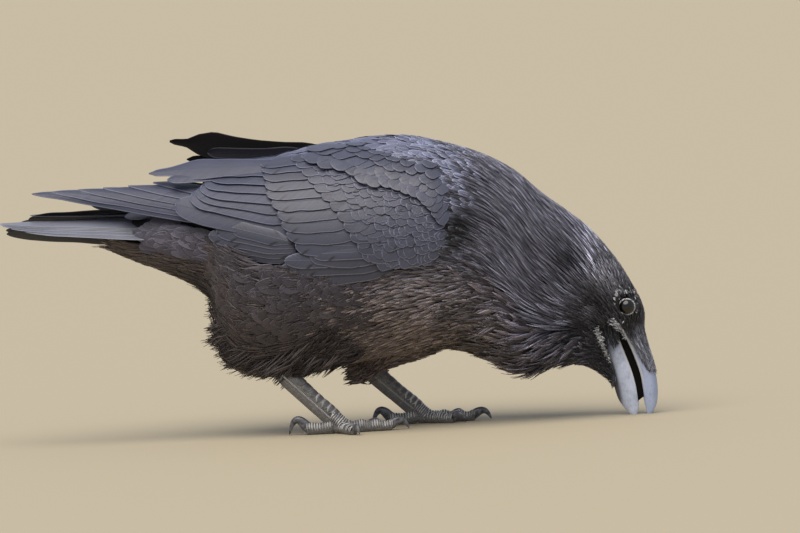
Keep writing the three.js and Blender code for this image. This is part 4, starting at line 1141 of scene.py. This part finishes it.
rectrices = Blades()
s = 1 - (1 - np.linspace(0, 1, 24)) ** 1.4
for i, tip_x in enumerate(TAIL_TIPS):
    u = (i - 5.5) / 6 if i > 5 else NEAR_SPREAD[i]
    x = TAIL_ROOT[0] + (tip_x - TAIL_ROOT[0]) * s
    y = u * (TAIL_ROOT[2] + (TAIL_END[2] - TAIL_ROOT[2]) * s)
    order = -abs(i - 5.5) * 0.4  # the middle feathers lie on top
    spine = np.stack([x, y, tail_height(x, y) + order + 1.4], -1)
    slope = (tail_height(x, y - 0.5) - tail_height(x, y + 0.5)) if abs(u) > 0.1 else 0 * x
    out = np.stack([x * 0, slope, x * 0 + 1], -1)
    width = 12 * np.maximum(vane_width(s, "flight"), 0.95 - 3 * s)
    # The near half is painted paler and the far half darker: painted light and painted shade on the two
    # slopes of the folded tail.
    rectrices.add(spine[None], unit(out)[None], worn(width[None], 0.05), arch=0.6 if u < 0 else -0.4,
                  thick=0.5, roll=0.07 * np.sign(u), tone=1.68 if u < 0 else 0.3)
rectrices.build("tail_feathers", tail_vane, BROAD, "flight_feathers", ("tail",))

# ---------------------------------------------------------------- bill

def bill_ring(station, ridge, grow=0.0, sides=36):
    """A ring of one half of the bill. ridge is 1 for the upper half, with its keel ahead, and -1 for the
    lower."""
    z, keel_x, edge_x, wide, tilt = station
    a = np.arange(sides) / sides * 2 * math.pi
    c, s = np.cos(a), np.sin(a)
    middle, deep = (keel_x + edge_x) / 2, (keel_x - edge_x) / 2 + grow
    keel = np.where(c * ridge > 0, 1 - 0.3 * np.abs(c) ** 3, 1)
    x = middle + deep * np.sign(c) * np.abs(c) ** 0.85
    y = (wide + grow) * np.sign(s) * np.abs(s) ** 0.75 * keel
    return np.stack([x, y, z + (x - middle) * math.sin(math.radians(tilt)) * 2], -1)


def bill_stations(table, count):
    """The bill's stations drawn finer, closer together towards the tip."""
    t = (1 - (1 - np.linspace(0, 1, count)) ** 1.3) * (len(table) - 1)
    rows = chain(table, t)
    rows[-1] = table[-1]
    return rows


def grounded(ring):
    """A ring with nothing under the floor."""
    ring = ring.copy()
    ring[:, 2] = np.maximum(ring[:, 2], 0)
    return ring


def horn_material(name, pale, dark, rough, reach, keel):
    """Horn grown in layers: a grey sheath with fine streaks and scratches along it, worn pale at its cutting
    edge and darker away from it, partly as painted shade. Waxy gloss. reach and keel are how far from the
    edge, in mm, it is dark and nearly black; the near black towards the keel is painted shade on the side
    that faces away from the light."""
    material, tree = new_material(name)
    where = add(tree, "TexCoord").outputs["Object"]
    height = add(tree, "SeparateXYZ", [where]).outputs[2]
    away_mm = add(tree, "Attribute", attribute_name="from_edge").outputs["Fac"]
    streaks = add(tree, "Mapping", {"Vector": where, "Scale": (900, 900, 60)})
    streaks = add(tree, "TexNoise", {"Vector": streaks, "Scale": 1.0, "Detail": 4.0})
    scratch = add(tree, "Mapping", {"Vector": where, "Scale": (2600, 2600, 130)})
    scratch = add(tree, "TexNoise", {"Vector": scratch, "Scale": 1.0, "Detail": 2.0})
    cloud = add(tree, "TexNoise", {"Vector": where, "Scale": 110.0, "Detail": 4.0})
    root = add(tree, "MapRange", (height, 0.045, 0.075, 0.0, 0.55))
    stain = add(tree, "Math", (cloud, 0.9, root), operation="MULTIPLY_ADD")
    worn_edge = add(tree, "MapRange", (away_mm, 3.0, 1.6))
    off_tip = add(tree, "MapRange", (height, 0.016, 0.036, 0.0, 0.95))
    colour = linear(pale)
    # Darker away from the edge is partly painted shade, and the near black by the keel is painted shade.
    for share, layer in (
            (add(tree, "MapRange", (stain, 0.48, 0.95)), dark),
            (add(tree, "Math", (streaks, 0.3), operation="MULTIPLY"), "#6c7384"),
            (add(tree, "MapRange", (scratch, 0.54, 0.72, 0.0, 0.5)), dark),
            (add(tree, "MapRange", (away_mm, 7.0, reach, 0.0, 0.65)), dark),
            (add(tree, "MapRange", (away_mm, keel, keel + 3.0, 0.0, 0.9)), "#2a2b30"),
            (add(tree, "Math", (worn_edge, off_tip), operation="MULTIPLY"), "#eceef4")):
        colour = add(tree, "Mix", (share, colour, linear(layer)), data_type="RGBA")
    relief = add(tree, "Math", (cloud, 0.6, streaks), operation="MULTIPLY_ADD")
    return finish(material, {
        "Base Color": colour, "IOR": 1.54, "Coat Weight": 0.25, "Coat Roughness": 0.3,
        "Roughness": add(tree, "Math", (streaks, 0.2, rough - 0.08), operation="MULTIPLY_ADD"),
        "Normal": add(tree, "Bump", {"Strength": 0.35, "Distance": 0.0002, "Height": relief})})


upper_horn = horn_material("bill horn, blue grey, upper sheath", "#b8c7ea", "#6f7890", 0.4, 16.0, 30.0)
lower_horn = horn_material("bill horn, blue grey, lower sheath", "#d6e0f9", "#656c7f", 0.42, 19.0, 13.5)


def mark_edge(obj, table, column):
    """Marks how far each point lies from the cutting edge, in mm, for the horn's colours."""
    points = np.array([vert.co for vert in obj.data.vertices]) * 1000 - (SHIFT, 0, 0)
    away_mm = np.abs(points[:, 0] - np.interp(-points[:, 2], -table[:, 0], table[:, column]))
    marks = obj.data.attributes.new("from_edge", "FLOAT", "POINT")
    marks.data.foreach_set("value", away_mm.astype(np.float32))


upper_half = loft("bill_upper_horn", [grounded(bill_ring(row, 1)) for row in bill_stations(UPPER_BILL, 44)],
                  upper_horn, "bill_horn", ("bill_upper",))
mark_edge(upper_half, UPPER_BILL, 2)
lower_half = loft("bill_lower_horn", [grounded(bill_ring(row, -1)) for row in bill_stations(LOWER_BILL, 40)],
                  lower_horn, "bill_horn", ("bill_lower",))
mark_edge(lower_half, LOWER_BILL, 1)


def mouth_rings(sides=16):
    """Rings of the lining between the two halves of the bill, from the gape down."""
    a = np.arange(sides) / sides * 2 * math.pi
    rings = []
    for z in np.linspace(82, 14, 24):
        upper = [np.interp(-z, -UPPER_BILL[:, 0], UPPER_BILL[:, k]) for k in (2, 3)]
        lower = [np.interp(-z, -LOWER_BILL[:, 0], LOWER_BILL[:, k]) for k in (1, 3)]
        back, front = lower[0] - 2.0, upper[0] + 2.0
        wide = 0.72 * min(upper[1], lower[1])
        rings.append(np.stack([(back + front) / 2 + (front - back) / 2 * np.cos(a), wide * np.sin(a),
                               np.full(sides, z) + 3 * np.cos(a)], -1))
    return rings


mouth_skin = mottled_material("mouth lining, black skin", "#040404", "#0d0b0b", 700.0,
                              {"Roughness": 0.6, "Specular IOR Level": 0.1}, detail=3.0)
loft("mouth_lining", mouth_rings(), mouth_skin, "bill_horn")

# ---------------------------------------------------------------- bristles over the base of the bill

def on_bill(blades, table, ridge, start, a, length, end, stand_off, half, tone=1.0):
    """Lays fine feathers down one half of the bill. start and end are heights, and a is the angle round it
    from ahead. stand_off gives how far they lie off it, from the height and the cosine of a."""
    n = len(a)
    s = np.linspace(0, 1, 6)
    down = np.maximum(start[:, None] - length[:, None] * s, (end + 4 - 8 * rng.random(n))[:, None] + 0.5 * s)
    keel_x, edge_x, wide = (np.interp(-down, -table[:, 0], table[:, k]) for k in (1, 2, 3))
    middle, deep = (keel_x + edge_x) / 2, (keel_x - edge_x) / 2
    c, sn = np.cos(a)[:, None], np.sin(a)[:, None]
    over = stand_off(down, c) * (0.25 + 0.75 * np.minimum(1, s * 3))
    over = over + rng.uniform(-0.4, 0.5, (n, 1)) + 1.1 * s ** 3
    keel = np.where(c * ridge > 0, 1 - 0.3 * np.abs(c) ** 3, 1)
    x = middle + (deep + over) * np.sign(c) * np.abs(c) ** 0.85
    y = (wide + over) * np.sign(sn) * np.abs(sn) ** 0.75 * keel
    spine = np.stack([x, y, down], -1)
    out = unit(np.stack([np.broadcast_to(c, x.shape), np.broadcast_to(sn, x.shape), 0.1 + 0 * x], -1))
    blades.add(spine, out, half * vane_width(s, "lance") * np.ones((n, 1)), arch=0.15, thick=0.2,
               tone=tone * (rng.uniform(0.3, 1.0, n) + 2.6 * rng.random(n) ** 4),
               root=np.stack([0.5 + a / 7, start / 100], -1))


def bristle_height(z, c):
    """How far the bristles stand off the bill, in mm. c is 1 on its ridge."""
    on_ridge = np.interp(-z, [-92, -80, -72, -60, -47, -40], [3, 4.4, 4.0, 3.2, 1.8, 0.8])
    return on_ridge * (0.4 + 0.6 * np.clip(c, 0, 1))


bristles = Blades()
BRISTLE_ROWS = 30
BRISTLES_PER_ROW = 44
for row in range(BRISTLE_ROWS):
    height = 94 - 46 * row / (BRISTLE_ROWS - 1)
    reach = np.interp(height, [46, 58, 75, 90], [1.5, 1.8, 1.9, 2.0])
    a = np.linspace(-reach, reach, BRISTLES_PER_ROW) + rng.uniform(-0.06, 0.06, BRISTLES_PER_ROW)
    start = height + rng.uniform(-1.5, 1.5, BRISTLES_PER_ROW)
    on_bill(bristles, UPPER_BILL, 1, start, a, rng.uniform(13, 21, BRISTLES_PER_ROW),
            np.interp(np.abs(a), [0, 0.8, 1.6, 1.8, 1.95], [40, 36, 43, 58, 72]), bristle_height, 0.62,
            tone=np.interp(height, [46, 70, 84, 94], [2.5, 2.8, 1.9, 1.3]))
# Short feathers over the base of the lower half.
for height in np.linspace(88, 68, 14):
    fan = np.linspace(0.55, 3.1, 24)
    a = np.concatenate([fan, -fan]) + rng.uniform(-0.06, 0.06, 48)
    on_bill(bristles, LOWER_BILL, -1, height + rng.uniform(-1.2, 1.2, 48), a, rng.uniform(6, 10, 48),
            61 + 14 * np.clip(np.cos(a), 0, 1) ** 1.5,
            lambda z, c: np.interp(-z, [-88, -76, -62], [2.6, 1.4, 0.5]), 0.6)
for height in np.linspace(66, 32, 18):
    a = np.concatenate([rng.uniform(2.2, 3.14, 16), rng.uniform(-3.14, -2.2, 16)])
    on_bill(bristles, LOWER_BILL, -1, height + rng.uniform(-1.2, 1.2, 32), a, rng.uniform(5, 8, 32),
            height - 12 + 0 * a, lambda z, c: 1.3 + 0 * z, 0.6, tone=0.6)
bristles.build("bristles", bristle_vane, FINE, "body_plumage", ("nasal_bristles",))

# ---------------------------------------------------------------- eyes

def eye_material():
    """A wet eye: a clear glossy front over a very dark brown iris with a black pupil."""
    material, tree = new_material("eye, wet dark brown")
    where = add(tree, "TexCoord").outputs["Object"]
    middle = (-(EYE.x + SHIFT) / 1000, 0, -EYE.z / 1000)
    centred = add(tree, "VectorMath", (where, middle), operation="ADD")
    flat_out = add(tree, "VectorMath", (centred, (1, 0, 1)), operation="MULTIPLY")
    radius = add(tree, "VectorMath", [flat_out], operation="LENGTH")
    fibres = add(tree, "TexNoise", {"Vector": where, "Scale": 900.0, "Detail": 3.0})
    iris = add(tree, "Mix", (fibres, linear("#070504"), linear("#120b08")), data_type="RGBA")
    off_pupil = add(tree, "MapRange", (radius, 0.0027, 0.0030))
    rim = add(tree, "MapRange", (radius, 0.0054, 0.0061))
    colour = add(tree, "Mix", (off_pupil, linear("#050404"), iris), data_type="RGBA")
    colour = add(tree, "Mix", (rim, colour, linear("#060505")), data_type="RGBA")
    return finish(material, {"Base Color": colour, "Roughness": 0.12, "IOR": 1.58})


wet_eye = eye_material()


def eye(side):
    """An eyeball, turned so that its pole looks out."""
    centre = metres((EYE.x, side * EYE.y, EYE.z))
    builder = bmesh.new()
    bmesh.ops.create_uvsphere(builder, u_segments=48, v_segments=32, radius=EYE_RADIUS / 1000)
    bmesh.ops.rotate(builder, verts=builder.verts, cent=(0, 0, 0),
                     matrix=Matrix.Rotation(math.pi / 2, 3, "X"))
    bmesh.ops.translate(builder, verts=builder.verts, vec=centre)
    mesh = smooth_mesh("eyeball", builder, wet_eye)
    name = SIDE_NAMES[side]
    place(bpy.data.objects.new(f"eyeball_{name}", mesh), (f"eye_{name}",), "eyes")


LID_RADIUS = 6.9  # of the ring of bare skin round the eye


def lid_material():
    """Bare skin of the lids: dry, pale and beaded with grains."""
    material, tree = new_material("eyelid, pale grainy skin")
    where = add(tree, "TexCoord").outputs["Object"]
    grains = add(tree, "TexVoronoi", {"Vector": where, "Scale": 900.0})
    between = add(tree, "MapRange", (grains, 0.1, 0.7))
    colour = add(tree, "Mix", (between, linear("#e0e2e6"), linear("#5e5f64")), data_type="RGBA")
    bump = add(tree, "Bump", {"Strength": 0.7, "Distance": 0.0003, "Height": grains})
    return finish(material, {"Base Color": colour, "Roughness": 0.55, "Normal": bump})


lid_skin = lid_material()


def eyelids(side):
    """A ring of bare skin round the eye, a little lower at the front and the back."""
    builder = bmesh.new()
    ring = bmesh.ops.create_circle(builder, segments=10, radius=0.85)
    bmesh.ops.rotate(builder, verts=ring["verts"], cent=(0, 0, 0),
                     matrix=Matrix.Rotation(math.pi / 2, 3, "X"))
    bmesh.ops.scale(builder, verts=ring["verts"], vec=(1.15, 1.5, 1))
    bmesh.ops.translate(builder, verts=ring["verts"], vec=(LID_RADIUS, 0, 0))
    bmesh.ops.spin(builder, geom=builder.verts[:] + builder.edges[:], cent=(0, 0, 0), axis=(0, 0, 1),
                   angle=2 * math.pi, steps=56, use_merge=True)
    bmesh.ops.recalc_face_normals(builder, faces=builder.faces)
    sink = math.sqrt(EYE_RADIUS ** 2 - LID_RADIUS ** 2)
    for vert in builder.verts:
        angle = math.atan2(vert.co.y, vert.co.x)
        swell = 1 + 0.16 * math.sin(angle * 28) + 0.2 * math.sin(angle * 9 + 1)
        vert.co.z = vert.co.z * swell - 0.5 * math.cos(2 * angle)
        vert.co = Vector((vert.co.x, side * (vert.co.z + EYE.y + sink), vert.co.y * 0.97))
        vert.co = (vert.co + Vector((EYE.x + SHIFT, 0, EYE.z))) / 1000
    bmesh.ops.recalc_face_normals(builder, faces=builder.faces)
    mesh = smooth_mesh("lids", builder, lid_skin)
    place(bpy.data.objects.new(f"eyelids_{SIDE_NAMES[side]}", mesh), (), "body_plumage")


for side in (RIGHT, LEFT):
    eye(side)
    eyelids(side)

# ---------------------------------------------------------------- flaky skin at the gape and over the eye

def flake_material():
    """Dry feather sheaths that flake off: pale keratin, some of it dusty grey."""
    material, tree = new_material("feather sheath flakes, dry and pale")
    tone = add(tree, "Attribute", attribute_name="tone").outputs["Fac"]
    colour = add(tree, "Mix", (tone, linear("#33343a"), linear("#e4e7ee")), data_type="RGBA")
    return finish(material, {"Base Color": colour, "Roughness": 0.6})


flakes = Blades()
FLAKE_LINES = [  # x and z of the ends of each line, its width and how many flakes lie along it
    ((242, 101), (244.5, 107.5), 2.6, 20), ((245, 108.5), (250.5, 110), 2.4, 16),
    ((250.5, 109.5), (258, 108.5), 2.8, 22), ((258, 108), (261.5, 103.5), 2.0, 12),
    ((243, 115), (245.5, 109), 1.6, 12), ((262, 98), (261, 90), 1.6, 10), ((237, 84), (241, 80.5), 1.8, 20),
    ((240, 86), (247, 75.5), 2.6, 110), ((247, 75.5), (250.5, 68), 1.1, 50),
    ((225.5, 79), (231, 62), 2.2, 190), ((231, 62), (236, 48), 1.3, 110)]
for side in (RIGHT, LEFT):
    for start, end, wide, count in FLAKE_LINES:
        share = rng.random((count, 1))
        spots = np.array(start) + (np.array(end) - np.array(start)) * share
        spots += rng.normal(0, wide / 2, (count, 2))
        t, a = on_side(spots, side)
        s = np.linspace(0, 1, 3)
        length = rng.uniform(0.9, 3.0, count)
        spine, out = glide(trunk, t, a, rng.normal(0.2, 0.5, count), length, s)
        spine = spine + out * (0.7 + rng.random(count) * 0.6)[:, None, None]
        half = rng.uniform(0.2, 0.45, count)[:, None] * np.array([0.6, 1.0, 0.5])
        flakes.add(spine, out, half, arch=0.05, thick=0.12, roll=rng.normal(0, 0.2, count),
                   tone=rng.random(count) ** 1.4, root=np.stack([t / LAST_STATION, (a + 2) / 8], -1))
flakes.build("skin_flakes", flake_material(), FINE, "body_plumage")

# ---------------------------------------------------------------- legs

def scale_material():
    """Dry leg skin: a net of small dark scales with dust in the seams between them."""
    material, tree = new_material("leg skin, dry black scales")
    where = add(tree, "TexCoord").outputs["Object"]
    net = add(tree, "TexVoronoi", {"Vector": where, "Scale": 620.0}, feature="DISTANCE_TO_EDGE")
    off_seam = add(tree, "MapRange", (net, 0.02, 0.14))
    dust = add(tree, "TexNoise", {"Vector": where, "Scale": 260.0, "Detail": 4.0})
    seam = add(tree, "Mix", (dust, linear("#46464a"), linear("#aaa7a2")), data_type="RGBA")
    colour = add(tree, "Mix", (off_seam, seam, linear("#6c6b6c")), data_type="RGBA")
    bump = add(tree, "Bump", {"Strength": 0.8, "Distance": 0.0003, "Height": off_seam})
    return finish(material, {"Base Color": colour, "Roughness": 0.55, "Normal": bump})


def scute_material():
    """Large leg scales: grey black keratin with a waxy gloss, rubbed pale along their edges."""
    material, tree = new_material("leg scutes, worn grey black keratin")
    where = add(tree, "TexCoord").outputs["Object"]
    on_vane = add(tree, "SeparateXYZ", [add(tree, "UVMap", uv_map="vane")])
    tone = add(tree, "Attribute", attribute_name="tone").outputs["Fac"]
    wear = add(tree, "TexNoise", {"Vector": where, "Scale": 500.0, "Detail": 4.0})
    off_middle = add(tree, "Math", (on_vane, 0.5), operation="SUBTRACT")
    off_middle = add(tree, "Math", [off_middle], operation="ABSOLUTE")
    uneven = add(tree, "Math", (wear, 0.5, -0.25), operation="MULTIPLY_ADD")
    border = add(tree, "Math", (off_middle, 2.0, uneven), operation="MULTIPLY_ADD")
    border = add(tree, "MapRange", (border, 0.4, 0.75))
    border = add(tree, "Math", (border, tone), operation="MULTIPLY")
    colour = add(tree, "Mix", (wear, linear("#37373b"), linear("#777779")), data_type="RGBA")
    colour = add(tree, "Mix", (border, colour, linear("#e2e0dc")), data_type="RGBA")
    bump = add(tree, "Bump", {"Strength": 0.3, "Distance": 0.0002, "Height": wear})
    return finish(material, {"Base Color": colour, "Roughness": 0.4, "Normal": bump})


scale_skin = scale_material()
scute_horn = scute_material()
claw_horn = mottled_material("claw horn, worn black", "#2e2f34", "#74747a", 300.0,
                             {"Roughness": 0.35, "Coat Weight": 0.2}, span=(0.35, 0.7))


def toe_line(leg, which, side, t):
    """Centre line, radius and direction of a toe at share t of its length."""
    length, radius, joints, _, _ = TOES[which]
    heading = math.radians(-side * leg["toes"][which])
    way = np.array([math.cos(heading), math.sin(heading), 0])
    radius = radius * (1.06 - 0.2 * t) * (1 + 0.1 * np.cos(2 * math.pi * t * joints))
    reach = HUB_RADIUS - 1.4 + (length - HUB_RADIUS + 1.4) * t
    hub = np.array([leg["hub"][0], side * leg["hub"][1], 0])
    return hub + way * reach[:, None] + np.array([0, 0, 1]) * (radius - 0.6)[:, None], radius, way


def bands(blades, centre, radius, along, top, spans, half, *, flat=1.0, lift=0.1, arch=0.35, tone=1.0):
    """Scutes that lie round a toe or shank. spans is how far each goes round to either side, in radians."""
    n = len(centre)
    side = np.cross(along, top)
    u = np.linspace(-1, 1, 9)
    a = spans[:, None] * u
    ring = (np.cos(a)[..., None] * top + (flat * np.sin(a))[..., None] * side)
    spine = centre[:, None] + ring * (radius + lift)[:, None, None]
    width = half[:, None] * np.sqrt(np.clip(1 - np.abs(u) ** 8, 0.1, 1))
    blades.add(spine, unit(ring), width, arch=arch, thick=0.4, tone=tone * rng.uniform(0.35, 1.0, n),
               roll=rng.normal(0, 0.06, n), root=np.stack([np.linspace(0.1, 0.9, n), np.full(n, 0.5)], -1))


def leg_depth(p):
    """The skin of the leg lies outside the CAD solids, most of all up on the shank."""
    return -0.1 - 1.4 * min(max((p.z - 12) / 14, 0), 1)


CLAW_BEND = 1.2  # how far a claw curves down, in radians


def claw_rings(which, hub, way, sides=14):
    """Rings of a claw that leaves the tip of its toe and curves down to a point."""
    length, radius, _, claw_length, claw_rise = TOES[which]
    base, tip = radius * 0.95, 1.1
    a = np.arange(sides) / sides * 2 * math.pi
    rings = []
    for share in np.linspace(0, 1, 18):
        reach = claw_length * math.sin(share * CLAW_BEND) / math.sin(CLAW_BEND)
        middle = np.array([hub[0], hub[1], 0]) + way * (length - 1.5 + reach)
        middle[2] = base + (tip - base) * share ** 2 + claw_rise * math.sin(math.pi * share)
        fall = (claw_rise * math.pi * math.cos(math.pi * share) - 2 * (base - tip) * share) / claw_length
        along = unit(way + np.array([0, 0, 1]) * fall) if share else way
        over = unit(np.array([0, 0, 1]) - along * along[2])
        beside = np.cross(along, over)
        r = radius * 0.8 * (1 - share) ** 0.75 + 0.35 * share
        rings.append(middle + over * (r * np.cos(a) * 1.1)[:, None]
                     + beside * (r * 0.72 * np.sin(a))[:, None])
    return rings


def leg(side):
    """The bare part of a leg: skin, scutes and claws."""
    name, spec = SIDE_NAMES[side], LEGS[side]
    nodes = [f"shank_{name}"] + [f"toe_{name}_{which}" for which in TOES]
    merged_copy(f"leg_skin_{name}", nodes, 0.6, 8, leg_depth, scale_skin, "leg_scales")
    scutes = Blades()
    ankle, hub = (np.array(spec[key], float) * (1, side, 1) for key in ("ankle", "hub"))
    down = unit(hub - ankle)
    front = np.array([-down[2], 0, down[0]])
    size = np.linalg.norm(hub - ankle)
    t = np.array([0.1, 0.22, 0.34, 0.46, 0.57, 0.67, 0.76, 0.84])
    radius = np.interp(t, SHANK[:, 0], SHANK[:, 1])
    gaps = np.gradient(t) * size
    bands(scutes, ankle + down * (t * size)[:, None], radius, down, front, np.full(len(t), 1.35),
          gaps * 0.62, flat=0.74, lift=1.3, arch=0.3, tone=np.interp(t, [0.3, 0.75], [0.1, 0.75]))
    # The seam between the scutes and the smooth back of the shank.
    t = np.linspace(0.0, 0.86, 12)
    across = np.array([0, side * -1.0, 0])
    for beside in (1, -1):
        reach = np.interp(t, *SHANK.T) * 0.72 + 1.2
        line = ankle + down * (t * size)[:, None] + across * beside * reach[:, None]
        line = line - front * (1.5 - 1.5 * t)[:, None]
        scutes.add(line[None], np.broadcast_to(across * beside, (1, 12, 3)), np.full((1, 12), 0.55),
                   arch=0.3, thick=0.3, tone=1.2, root=np.full((1, 2), 0.5))
    # Small scutes where the shank meets the toes.
    t = np.linspace(0.84, 1.08, 9)
    bands(scutes, ankle + down * (t * size)[:, None], np.full(9, 8.4), down, front, np.full(9, 1.7),
          np.full(9, 1.25), flat=0.82, arch=0.5, tone=1.25)
    for which, (length, *_) in TOES.items():
        count = int((length - 7) / 2.1)
        t = (np.arange(count) + 0.5) / count
        centre, radius, way = toe_line(spec, which, side, t)
        bands(scutes, centre, radius, way, np.array([0, 0, 1.0]), np.full(count, 1.75),
              np.full(count, 1.2), flat=0.92, lift=0.05, arch=0.6, tone=1.25)
        loft(f"claw_{name}_{which}_horn", claw_rings(which, hub, way), claw_horn, "claws",
             (f"claw_{name}_{which}",))
    scutes.build(f"scutes_{name}", scute_horn, MEDIUM, "leg_scales")


leg(RIGHT)
leg(LEFT)
